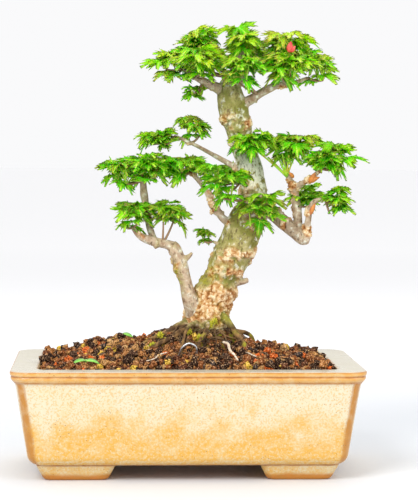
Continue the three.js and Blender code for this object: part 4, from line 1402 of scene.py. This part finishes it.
    def build(self) -> bpy.types.Object:
        """Fuses the limbs, carves the bark and writes what the finish needs to know."""
        fine, run, owner = self.stations()
        skin = self.fused(self.sweeps(fine, owner))
        places = column(skin.vertices, "co", 3)
        normals = column(skin.vertex_normals, "vector", 3)
        at = self.nearest(places, fine)
        bark = Bark(places, fine[at, :3], fine[at, 3], run[at], owner[at])
        lift, values = self.carve(bark)
        skin.vertices.foreach_set("co", (places + normals * lift[:, None]).astype(np.float32).ravel())
        wood = bpy.data.objects.new("wood", skin)
        bpy.context.scene.collection.objects.link(wood)
        write_values(skin, values | self.tints(bark))
        skin.polygons.foreach_set("use_smooth", np.ones(len(skin.polygons), bool))
        skin.materials.append(BarkFinish().material())
        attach(wood, "root")
        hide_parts(*(name for name in (*LIMBS, *ROOTS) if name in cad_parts))
        return wood


# ------------------------------------------------------------------ leaves


@dataclass(frozen=True)
class MapleLeaf:
    """The plan of one crinkled palmate leaf: five toothed lobes on one pleated, arching blade."""

    angles: tuple[float, ...] = (-108, -54, 0, 54, 108)
    lengths: tuple[float, ...] = (0.62, 0.90, 1.0, 0.90, 0.62)
    steps: int = 14
    rings: tuple[float, ...] = (0.26, 0.52, 0.77, 1.0)
    sinus: float = 0.60
    tooth: float = 0.18
    pleat: float = 0.16
    thick: float = 0.15 * MM
    half_angle: float = 29.0
    crinkle: float = 0.034

    def grow(self, base: Array, ahead: Array, up: Array, size: Array, rng: np.random.Generator) -> Surface:
        """The blades of n leaves, each a closed pair of sheets that share their toothed rim.

        Round the leaf, d runs from -1 to 1 over each lobe. The rim stands at
        L length (1 - (1 - sinus) |d|^1.4) (1 + tooth or 1 - tooth), and a ring at its share of that, r.
        With m = r cos f / L and n = r sin f / L, a point is base + L m ahead + L n side
        + (L (rise m - droop m^2 - hang n^2) + pleat r (2 |d| - 1)) up, and each point is shaken a little.

        Args:
            base: (n, 3) where the lobes meet.
            ahead: (n, 3) directions of the middle lobes.
            up: (n, 3) upper sides, square to ahead.
            size: (n,) lengths of the middle lobes.
            rng: the source of each leaf's small differences.

        Returns:
            The closed blades, with a UV map: u from 0 on a rib to 0.5 between lobes, v from 0 to 1 outwards.
        """
        count, lobes, rings = len(base), len(self.angles), len(self.rings)
        lobe = np.r_[np.repeat(np.arange(lobes), self.steps), lobes - 1, lobes - 1]
        d = np.r_[np.tile(np.arange(self.steps) / self.steps * 2 - 1, lobes), 1, 1]
        around = len(d)
        notch = np.where(np.arange(around) % self.steps % 2 == 1, -1, 1) * np.minimum(3 * np.abs(d), 1)
        teeth = 1 + self.tooth * notch
        middle = np.radians(self.angles) * rng.uniform(0.86, 1.02, (count, 1))
        middle = middle + rng.normal(0, 0.05, (count, lobes))
        f = middle[:, lobe] + d * math.radians(self.half_angle)
        f[:, -1] = math.pi
        long = size[:, None] * np.array(self.lengths) * rng.uniform(0.84, 1.12, (count, lobes))
        rim = long[:, lobe] * (1 - (1 - self.sinus) * np.abs(d) ** 1.4) * teeth
        rim[:, -1] *= 0.3
        r = rim[:, None] * np.array(self.rings)[None, :, None]
        whole = size[:, None, None]
        m, n = r * np.cos(f)[:, None] / whole, r * np.sin(f)[:, None] / whole
        rise = rng.uniform(0.05, 0.35, (count, 1, 1))
        droop = rise + rng.uniform(-0.08, 0.26, (count, 1, 1))
        droop = droop + rng.normal(0, 0.10, (count, lobes))[:, None, lobe]
        hang = rng.uniform(0.05, 0.50, (count, 1, 1)) + rng.normal(0, 0.13, (count, lobes))[:, None, lobe]
        height = whole * (rise * m - droop * m * m - hang * n * n) + self.pleat * r * (2 * np.abs(d) - 1)
        height += self.crinkle * whole * rng.normal(size=r.shape) * np.minimum(2 * r / whole, 1)
        twist = rng.normal(0, 0.16, (count, 1, 1))
        side = np.cross(up, ahead)
        across = r * np.sin(f)[:, None]
        sheet = base[:, None, None] + (r * np.cos(f)[:, None])[..., None] * ahead[:, None, None]
        sheet = sheet + across[..., None] * side[:, None, None]
        sheet = sheet + (height + twist * across)[..., None] * up[:, None, None]
        gap = (self.thick * (1 - np.array(self.rings) ** 3))[None, :, None, None] * up[:, None, None]
        upper, lower = sheet + gap, (sheet - gap)[:, :-1]
        hubs = np.stack([base + self.thick * up, base - self.thick * up], axis=1)
        body = [upper.reshape(count, -1, 3), lower.reshape(count, -1, 3), hubs]
        vertices = np.concatenate(body, axis=1)
        upper_uv = np.stack([np.tile(np.abs(d) / 2, rings), np.repeat(self.rings, around)], axis=1)
        uv = np.concatenate([upper_uv, upper_uv[:-around], np.zeros((2, 2))])
        return Surface(vertices.reshape(-1, 3), *self.faces(count, around), {}, np.tile(uv, (count, 1)))

    def faces(self, count: int, around: int) -> tuple[Index, Index]:
        """Quads between the rings of both sheets, and fans of triangles from the rings to the hubs.

        Args:
            count: number of leaves.
            around: vertices in each ring of a leaf.

        Returns:
            The quads and the triangles.
        """
        rings = len(self.rings)
        stride = (2 * rings - 1) * around + 2
        j = np.arange(around)
        k = (j + 1) % around
        top = np.arange(rings * around).reshape(rings, around)
        under = rings * around + np.arange((rings - 1) * around).reshape(-1, around)
        low = np.concatenate([under, top[-1:]])
        hub = np.full(around, stride - 2)
        tris = [np.stack([hub, top[0, j], top[0, k]], axis=1)]
        tris += [np.stack([hub + 1, low[0, k], low[0, j]], axis=1)]
        spans = range(rings - 1)
        quads = [np.stack([top[i, j], top[i + 1, j], top[i + 1, k], top[i, k]], axis=1) for i in spans]
        quads += [np.stack([low[i, k], low[i + 1, k], low[i + 1, j], low[i, j]], axis=1) for i in spans]
        shift = (np.arange(count) * stride)[:, None, None]
        every_tri = (np.concatenate(tris)[None] + shift).reshape(-1, 3)
        every_quad = (np.concatenate(quads)[None] + shift).reshape(-1, 4)
        return every_quad, every_tri


class Tier(Enum):
    """A layer of a pad: leaves per metre round it, reach, height and dip ranges, and how much it shifts the
    leaves' tone: painted shade in the under layer, painted light in the crown and rim.
    """

    RIM = (48.0, (0.76, 1.04), (0.0, 0.55), (-12, 22), 0.04)
    CROWN = (30.0, (0.42, 1.15), (0.36, 0.80), (-14, 18), 0.14)
    UNDER = (10.0, (0.55, 0.92), (-0.40, -0.05), (0, 30), -0.18)


@dataclass
class Foliage:
    """The leaf pads, each in its CAD pad's place, with the stalks and shoots that carry them."""

    wood: Wood
    plan: MapleLeaf = MapleLeaf()
    size: tuple[float, float] = (20 * MM, 30 * MM)
    inner: float = 0.85
    blush: float = 0.35
    fan_foot: tuple[float, float, float] = (92, -12, 171)
    fan_tips: tuple[tuple[float, float, float], ...] = (
        (64, -24, 194), (74, -18, 189), (82, -20, 191), (87, -22, 192), (93, -22, 191), (99, -20, 190),
    )
    seed: int = 9
    stalks: list[Surface] = field(default_factory=list)

    def tier(self, tier: Tier, centre: Array, half: Array, rng: np.random.Generator) -> dict[str, Array]:
        """Where each leaf of one layer starts, which way it points, its size and its tone.

        A leaf's tip stands at its reach times the pad's half-sizes in its direction, and its base is
        the inner share of its length back from there.

        Args:
            tier: the layer.
            centre: the pad's centre.
            half: its half-sizes.
            rng: the source of the scatter.

        Returns:
            Each leaf's base, ahead, up, size and tone.
        """
        density, reaches, heights, dips, shade = tier.value
        count = max(3 if tier is Tier.RIM else 2, round(density * math.pi * (half[0] + half[1])))
        turn = (np.arange(count) + rng.uniform(-0.3, 0.3, count)) / count * 2 * math.pi + rng.uniform(0, 6.3)
        out = np.column_stack([np.cos(turn), np.sin(turn), np.zeros(count)])
        size = np.minimum(rng.uniform(*self.size, count), 0.62 * min(half[0], half[1]) + 5 * MM)
        dip = np.radians(rng.uniform(*dips, count))[:, None]
        down = np.array([0, 0, -1.0])
        ahead = unit(out * np.cos(dip) + down * np.sin(dip))
        up = unit(out * np.sin(dip) - down * np.cos(dip) + rng.normal(0, 0.2, (count, 3)))
        up = unit(up - (up * ahead).sum(axis=1, keepdims=True) * ahead)
        level = rng.uniform(*heights, count)
        reach = rng.uniform(*reaches, count)
        tip = centre + half * (out * reach[:, None]) + np.outer(level * half[2], (0, 0, 1))
        back = self.inner * size[:, None] * ahead * (1, 1, 0.4)
        base = tip - back + rng.normal(0, 2.2 * MM, (count, 3)) * (1, 1, 0.5)
        # Tone is partly random and partly painted light and shade: lower in the under layer, higher in the
        # crown, higher up each pad and on higher pads.
        tone = 0.50 + shade + 0.16 * level + 1.5 * (centre[2] - RIM - 0.21) + rng.normal(0, 0.15, count)
        return {"base": base, "ahead": ahead, "up": up, "size": size, "tone": np.clip(tone, 0, 1)}

    def carry(self, centre: Array, half: Array, leaves: dict[str, Array], rng: np.random.Generator) -> None:
        """Shoots from the nearest wood to a few forks in the pad, and a stalk from a fork to each leaf.

        Args:
            centre: the pad's centre.
            half: its half-sizes.
            leaves: where the leaves start.
            rng: the source of the scatter.
        """
        fine, _, owner = self.wood.stations()
        limbs = fine[owner < len(LIMBS)]
        aim = centre - (0, 0, 0.35 * half[2])
        start = limbs[np.argmin(np.linalg.norm(limbs[:, :3] - aim, axis=1)), :3]
        forks = max(2, len(leaves["base"]) // 5)
        angle = np.arange(forks) * GOLDEN_ANGLE + rng.uniform(0, 6.3)
        spot = np.column_stack([0.3 * np.cos(angle), 0.3 * np.sin(angle), rng.uniform(-0.5, -0.1, forks)])
        fork = centre + half * spot
        t = np.linspace(0, 1, 7)[None, :, None]
        bow = np.array([0, 0, 1.0]) * 4 * t * (1 - t)
        shoots = start + (fork[:, None] - start) * t - 1.5 * MM * bow
        wood = tubes(shoots, np.linspace(1.3, 0.8, 7)[None].repeat(forks, 0) * MM, 6)
        which = np.argmin(np.linalg.norm(leaves["base"][:, None] - fork[None], axis=2), axis=1)
        reach = np.linalg.norm(leaves["base"] - fork[which], axis=1)[:, None, None]
        paths = fork[which][:, None] + (leaves["base"] - fork[which])[:, None] * t + 0.12 * reach * bow
        radii = np.array([0.9, 0.62, 0.55, 0.5, 0.48, 0.5, 0.6]) * MM
        stalks = tubes(paths, radii[None].repeat(len(paths), 0), 5)
        for part, woody in ((wood, 1.0), (stalks, 0.0)):
            part.values = {"woody": np.full(len(part.vertices), woody)}
        self.stalks += [wood, stalks]

    def pad(self, name: str, finish: bpy.types.Material, rng: np.random.Generator) -> bpy.types.Object:
        """One pad of leaves in the place of its CAD node.

        Args:
            name: the CAD node.
            finish: the material of the leaves.
            rng: the source of the scatter.

        Returns:
            The pad, in place of its node.
        """
        low, high = (np.array(corner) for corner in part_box(name))
        centre, half = (low + high) / 2, (high - low) / 2
        tiers = [self.tier(tier, centre, half, rng) for tier in Tier]
        leaves = {key: np.concatenate([tier[key] for tier in tiers]) for key in tiers[0]}
        growth = self.plan.grow(leaves["base"], leaves["ahead"], leaves["up"], leaves["size"], rng)
        each = len(growth.vertices) // len(leaves["tone"])
        blush = np.clip(rng.normal(0.0, self.blush, len(leaves["tone"])), 0, 1)
        growth.values = {"tone": np.repeat(leaves["tone"], each), "blush": np.repeat(blush, each)}
        self.carry(centre, half, leaves, rng)
        pad = growth.make(name.replace("leaves", "pad"))
        pad.data.materials.append(finish)
        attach(pad, "root")
        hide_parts(name)
        return pad

    def fan(self) -> Surface:
        """The long bright stalks that rise from the end of the inner right-hand branch."""
        foot = np.array(self.fan_foot) * MM + (0, 0, RIM)
        tips = np.array(self.fan_tips) * MM + (0, 0, RIM)
        t = np.linspace(0, 1, 9)[None, :, None]
        paths = foot + (tips - foot)[:, None] * t + 0.9 * MM * np.array((0, 0, 4)) * t * (1 - t)
        fan = tubes(paths, np.tile(np.linspace(1.0, 0.72, 9) * MM, (len(tips), 1)), 8)
        fan.values = {"woody": np.zeros(len(fan.vertices))}
        return fan

    def build(self) -> list[bpy.types.Object]:
        """Every pad, and one piece for all the stalks."""
        finish = LeafFinish().material()
        names = sorted(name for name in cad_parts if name.startswith("leaves_"))
        pads = [self.pad(name, finish, np.random.default_rng(self.seed + k)) for k, name in enumerate(names)]
        stalks = Surface.joined([*self.stalks, self.fan()]).make("leaf_stalks")
        stalks.data.materials.append(StalkFinish().material())
        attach(stalks, "root")
        return [*pads, stalks]


SHEATH = PlainFinish("bud_sheath", (0.62, 0.22, 0.035), (0.40, 0.12, 0.03), 0.55)
RED_BUD = PlainFinish("red_bud", (0.50, 0.02, 0.02), (0.62, 0.10, 0.06), 0.45)
SEEDLING_LEAF = PlainFinish("seedling_leaf", (0.16, 0.52, 0.05), (0.30, 0.62, 0.10), 0.45, 400.0)
MOSS = PlainFinish("moss", (0.78, 0.68, 0.04), (0.36, 0.40, 0.03), 0.95, 600.0)
PALE_ROOT = PlainFinish("pale_root", (0.80, 0.72, 0.60), (0.50, 0.34, 0.20), 0.8, 500.0)
MAT_ROOT = PlainFinish("mat_root", (0.045, 0.022, 0.010), (0.26, 0.145, 0.05), 0.85, 85.0, 0.0, 0.0004)
WIRE = PlainFinish("wire", (0.60, 0.61, 0.63), (0.42, 0.43, 0.45), 0.34, 300.0, 1.0)
SCREEN = PlainFinish("screen_plastic", (0.022, 0.026, 0.023), (0.045, 0.05, 0.045), 0.6)


# ------------------------------------------------------------------ small growth and fittings


def dressed(piece: bpy.types.Object, finish: PlainFinish) -> bpy.types.Object:
    """Gives the piece its finish and its place on the tree's body.

    Args:
        piece: the mesh object.
        finish: its material.

    Returns:
        The same piece.
    """
    piece.data.materials.append(finish.material())
    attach(piece, "root")
    return piece


@dataclass
class Buds:
    """Swollen buds in their sheaths on the right-hand shoots, and one red bud in the crown.

    A bud is its foot and its tip in millimetres over the rim, and its greatest radius.
    """

    sheaths: tuple[tuple[tuple[float, float, float], tuple[float, float, float], float], ...] = (
        ((112, -24, 165), (118, -28, 176), 2.6), ((112, -24, 166), (121, -28, 171), 2.2),
        ((112, -27, 136), (117, -30, 147), 2.2), ((98, -18, 170), (93, -22, 175), 1.8),
    )
    red: tuple[tuple[tuple[float, float, float], tuple[float, float, float], float], ...] = (
        ((90, -48, 283), (91.5, -50, 293), 2.9), ((92, -48, 283), (95.5, -50, 289), 1.8),
    )

    def teardrops(self, buds: tuple) -> Surface:
        """Closed drops: radius R sin(pi t^0.7) along the line from foot to tip, slightly bowed.

        Args:
            buds: a foot, a tip and a radius for each bud.

        Returns:
            The closed drops.
        """
        t = np.linspace(0, 1, 12)
        rows = []
        for foot, tip, radius in buds:
            start, end = (np.array(p, float) * MM + (0, 0, RIM) for p in (foot, tip))
            path = start + (end - start) * t[:, None] + (0, 0, 0.6 * MM) * np.sin(math.pi * t)[:, None]
            swell = radius * MM * np.maximum(np.sin(math.pi * t**0.7) ** 0.8, 0.12)
            rows.append(tubes(path[None], swell[None], 12))
        return Surface.joined(rows)

    def build(self) -> list[bpy.types.Object]:
        """The sheathed buds and the red one."""
        brown = dressed(self.teardrops(self.sheaths).make("bud_sheaths"), SHEATH)
        return [brown, dressed(self.teardrops(self.red).make("red_bud"), RED_BUD)]


@dataclass
class Undergrowth:
    """Moss cushions, pale root fibres and the seedlings at the rim. Places are millimetres over the rim.

    A cushion is its centre and radius. A head is a seed leaf's length in millimetres, its bearing and
    its rise.
    """

    bed: SoilBed
    cushions: tuple[tuple[float, float, float, float], ...] = (
        (-33, -27, 13, 3.6), (-31, -29, 16, 2.6), (25, -20, 37, 3.0), (21, -22, 34, 2.2), (2, -25, 29, 2.0),
        (-18, -24, 21, 1.8), (12, -30, 24, 1.8), (-24, -20, 25, 2.0),
    )
    strands: int = 200
    fibres: tuple[Route, ...] = (
        ((-30, -22, 17, 0.9), (-42, -30, 14, 0.8), (-52, -36, 11, 0.7), (-64, -44, 7, 0.5)),
        ((-34, -26, 16, 0.8), (-44, -38, 11, 0.7), (-58, -42, 9, 0.6), (-70, -40, 7, 0.4)),
        ((-26, -24, 17, 0.7), (-36, -34, 13, 0.6), (-46, -42, 10, 0.5), (-50, -52, 7, 0.4)),
        (
            (32, -40, 21, 1.0), (36, -46, 19, 1.3), (38, -54, 14.5, 1.2), (43, -60, 11.5, 1.1),
            (45, -68, 7.5, 0.7),
        ),
        ((52, -40, 12, 0.8), (60, -48, 10, 0.7), (66, -58, 8, 0.5), (70, -62, 6, 0.4)),
        ((-18, -46, 12, 0.7), (-26, -52, 10, 0.6), (-30, -60, 8, 0.5), (-38, -62, 6, 0.4)),
    )
    seedling: tuple[float, float] = (-92 * MM, -64 * MM)
    heads: tuple[tuple[float, float, float], ...] = (
        (12.5, 0.02, -0.12), (13.0, math.pi - 0.05, -0.16), (7.5, 4.2, 0.25), (6.0, 1.2, 0.3),
    )
    blade_at: tuple[float, float] = (-55 * MM, 30 * MM)

    def moss(self) -> bpy.types.Object:
        """Short tapered strands that stand out of each cushion's ball in every upward direction."""
        rng = np.random.default_rng(5)
        centre = np.repeat(np.array(self.cushions), self.strands, axis=0)
        way = unit(rng.normal(size=(len(centre), 3)) + (0, -0.3, 0.6))
        out = way * centre[:, 3:] * MM * rng.uniform(0.3, 1.0, (len(centre), 1))
        foot = centre[:, :3] * MM + (0, 0, RIM) + out
        lean = unit(way + rng.normal(0, 0.5, way.shape)) * rng.uniform(1.2, 2.6, (len(centre), 1)) * MM
        paths = foot[:, None] + lean[:, None] * np.linspace(0, 1, 3)[None, :, None]
        radii = np.tile(np.array([0.38, 0.28, 0.06]) * MM, (len(paths), 1))
        return dressed(tubes(paths, radii, 3).make("moss"), MOSS)

    def pale_roots(self) -> bpy.types.Object:
        """Thin roots that lie on the earth."""
        rows = []
        for route in self.fibres:
            fine = spline(placed(route), 26)
            fine[:, :2] += 2.0 * MM * np.column_stack([lattice_noise(fine[:, :3], 7 * MM, k) for k in (1, 2)])
            rows.append(tubes(fine[None, :, :3], fine[None, :, 3], 7))
        return dressed(Surface.joined(rows).make("root_fibres"), PALE_ROOT)

    def seedlings(self) -> bpy.types.Object:
        """A pair of seed leaves on a short stem at the front rim, and one strap leaf behind."""
        ground = self.bed.top(np.array([self.seedling, self.blade_at]))
        foot = np.array([*self.seedling, ground[0] + 1 * MM])
        stem = foot + np.outer(np.linspace(0, 1, 6), (0.3 * MM, -0.6 * MM, 6 * MM))
        stalk = tubes(stem[None], np.full((1, 6), 0.75 * MM), 7)
        t = np.linspace(0, 1, 14)
        up = np.array([0, 0, 1.0])
        rows = []
        for length, turn, rise in self.heads:
            way = np.array([math.cos(turn), math.sin(turn), 0])
            arch = (0.30 * t - (0.42 - rise) * t * t)[:, None] * up
            line = stem[-1] + length * MM * (t[:, None] * way + arch)
            width = length * MM * 0.29 * np.maximum(np.sin(math.pi * t**0.85) ** 0.6, 0.06)
            tilt = unit(up + (2 * (0.42 - rise) * t - 0.3)[:, None] * way + (0, -0.35, 0))
            rows.append(blades(line[None], tilt[None], width[None], np.full((1, 14), 0.18), 0.25 * MM))
        back = np.array([*self.blade_at, ground[1] + 3 * MM])
        arch = 2.5 * MM * np.sin(math.pi * t)[:, None] * up
        line = back + 13 * MM * (t[:, None] - 0.5) * (1, -0.2, 0) + arch
        width = 2.4 * MM * np.maximum(np.sin(math.pi * t) ** 0.7, 0.08)
        tilt = np.tile(unit(np.array([0, -0.8, 1.0])), (14, 1))
        rows.append(blades(line[None], tilt[None], width[None], np.full((1, 14), 0.2), 0.25 * MM))
        leaves = Surface.joined(rows)
        stalk.uv = np.zeros((len(stalk.vertices), 2))
        sprig = dressed(Surface.joined([leaves, stalk]).make("seedlings"), SEEDLING_LEAF)
        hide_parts("seedling")
        return sprig

    def build(self) -> list[bpy.types.Object]:
        """All the small growth."""
        return [self.moss(), self.pale_roots(), self.seedlings()]


@dataclass
class RootMat:
    """Thin dark roots that run down over the root ball from under the trunk."""

    bed: SoilBed
    count: int = 170
    thick: tuple[float, float] = (0.35 * MM, 1.05 * MM)
    seed: int = 23

    def build(self) -> bpy.types.Object:
        """Each root leaves the middle at its own bearing, which drifts and sways as it goes down."""
        rng = np.random.default_rng(self.seed)
        middle, long, deep, _ = self.bed.mound
        t = np.linspace(0, 1, 24)
        start = rng.uniform(0.22, 0.75, (self.count, 1))
        share = start + rng.uniform(0.35, 1.0, (self.count, 1)) * t
        sway = rng.normal(0, 0.35, (self.count, 1)) * t
        sway = sway + 0.10 * np.sin(rng.uniform(5, 16, (self.count, 1)) * t)
        bearing = rng.uniform(0, 2 * math.pi, (self.count, 1)) + sway
        flat = np.stack([middle + share * long * np.cos(bearing), share * deep * np.sin(bearing)], axis=-1)
        radii = rng.uniform(*self.thick, (self.count, 1)) * (1 - 0.65 * t)
        hop = rng.uniform(0, 3.0 * MM, (self.count, 1)) * np.sin(math.pi * t) ** 2
        level = self.bed.top(flat.reshape(-1, 2)).reshape(self.count, -1) + 0.9 * MM + hop - 2.5 * MM * t**6
        mat = tubes(np.concatenate([flat, level[..., None]], axis=-1), radii, 6).make("root_mat")
        return dressed(mat, MAT_ROOT)


@dataclass
class Fittings:
    """The wire that ties the tree down, and the two mesh screens over the drainage holes."""

    pot: Pot
    radius: float = 1.0 * MM
    loop: tuple[tuple[float, float, float], ...] = (
        (-22, -40, -10), (-9, -49, 8), (-5, -53, 17), (1, -54, 21), (7, -53, 18), (8, -51, 11), (5, -49, 3),
    )

    def build(self) -> list[bpy.types.Object]:
        """One smooth wire up through the left-hand screen, and a finish on the screens."""
        pot = self.pot
        hole, floor_top = -pot.hole_spacing / 2, pot.foot_height + pot.floor
        rise = [
            (hole, 0, pot.foot_height + 1 * MM), (hole, 0, floor_top), (hole, 0, floor_top + 12 * MM),
            (hole + 20 * MM, -12 * MM, (floor_top + RIM) / 2),
        ]
        path = spline(np.concatenate([rise, np.array(self.loop) * MM + (0, 0, RIM)]), 150)
        wire = tubes(path[None], np.full((1, 150), self.radius), 14).make("tie_wire")
        dressed(wire, WIRE)
        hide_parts("anchor_wire")
        plastic = SCREEN.material()
        for side in ("left", "right"):
            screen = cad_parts[f"drain_screen_{side}"]
            screen.data.materials.clear()
            screen.data.materials.append(plastic)
        return [wire]


# ------------------------------------------------------------------ studio


class Lamp(Enum):
    """The soft lights: place, size, power in watts, and tint."""

    KEY = ((-0.9, -1.5, 1.35), 1.0, 34.0, (1.0, 0.985, 0.96))
    FILL = ((1.3, -1.2, 0.8), 1.4, 15.0, (1.0, 0.99, 0.98))
    BACK = ((0.2, 1.3, 1.7), 1.2, 7.0, (1.0, 1.0, 1.0))


@dataclass(frozen=True)
class FloorFinish:
    """A matt, nearly white floor that is a little darker and cooler near the pot."""

    near: Colour = (0.68, 0.70, 0.73)
    middle: Colour = (0.85, 0.855, 0.865)
    far: Colour = (0.98, 0.98, 0.985)
    reach: float = 8.0

    def material(self) -> bpy.types.Material:
        """Runs through the three tones with the distance from the pot, as a share of the reach."""
        sh = Shader("studio_floor")
        away = sh.node("ShaderNodeVectorMath", {0: sh.place()}, operation="LENGTH").outputs["Value"]
        share = sh.math("DIVIDE", away, self.reach)
        return sh.finish(sh.ramp(share, [(0.05, self.near), (0.14, self.middle), (0.5, self.far)]), 0.7)


@dataclass
class Studio:
    """A pale floor, soft lights all round and the camera."""

    floor_radius: float = 60.0
    sky: Colour = (0.955, 0.955, 0.965)
    aim: tuple[float, float, float] = (0.02, 0.0, 0.2)
    eye: tuple[float, float, float] = (-0.0708, -1.767, 0.295)
    yaw: float = -2.97
    pitch: float = -2.99
    roll: float = -0.32
    lens: float = 137.5
    sensor: float = 36.0

    def floor(self) -> None:
        """A flat disc: rings of 96 points about the middle, just under the feet."""
        rings = np.geomspace(self.floor_radius, 0.02, 24)
        angle = np.arange(96) / 96 * 2 * math.pi
        flat = rings[:, None, None] * np.stack([np.cos(angle), np.sin(angle)], axis=-1)[None]
        disc = closed_profile(np.concatenate([flat[:1], flat]), np.r_[-4 * MM, np.full(24, -0.2 * MM)])
        floor = disc.make("studio_floor")
        floor.data.materials.append(FloorFinish().material())

    def lamps(self) -> None:
        """Soft area lights that face the tree."""
        for lamp in Lamp:
            place, size, power, tint = lamp.value
            light = bpy.data.lights.new(lamp.name.lower(), "AREA")
            light.shape, light.size, light.energy, light.color = "DISK", size, power, tint
            holder = bpy.data.objects.new(lamp.name.lower(), light)
            holder.location = place
            away = Vector(self.aim) - holder.location
            holder.rotation_euler = away.to_track_quat("-Z", "Y").to_euler()
            bpy.context.scene.collection.objects.link(holder)

    def surroundings(self) -> None:
        """An even, nearly white world."""
        world = bpy.data.worlds.new("studio")
        world.use_nodes = True
        sky = world.node_tree.nodes["Background"]
        sky.inputs["Color"].default_value = (*self.sky, 1.0)
        sky.inputs["Strength"].default_value = 1.0
        bpy.context.scene.world = world

    def camera(self) -> None:
        """A long lens at the height of the leaves, a little to the left of the pot's middle."""
        lens = bpy.data.cameras.new("camera")
        lens.lens, lens.sensor_width, lens.sensor_height = self.lens, self.sensor, self.sensor
        lens.clip_end = 30.0
        holder = bpy.data.objects.new("camera", lens)
        holder.location = self.eye
        holder.rotation_euler = np.radians((90 + self.pitch, self.roll, self.yaw))
        bpy.context.scene.collection.objects.link(holder)
        bpy.context.scene.camera = holder

    def build(self) -> None:
        """Sets up everything that isn't part of the tree or its pot."""
        self.floor()
        self.lamps()
        self.surroundings()
        self.camera()
        bpy.context.scene.view_settings.view_transform = "Standard"


def main() -> None:
    """Builds the studio and every piece in order, then logs each piece's face count."""
    logging.basicConfig(level=logging.INFO, format="%(name)s: %(message)s")
    Studio().build()
    pot = Pot()
    bed = SoilBed(pot)
    wood = Wood()
    pieces = [pot.build(), bed.build(), Granules(bed).build(), wood.build(), *Foliage(wood).build()]
    pieces += [*Buds().build(), *Undergrowth(bed).build(), RootMat(bed).build(), *Fittings(pot).build()]
    for piece in pieces:
        log.info("%s: %d faces", piece.name, len(piece.data.polygons))


if __name__ == "__main__":
    main()
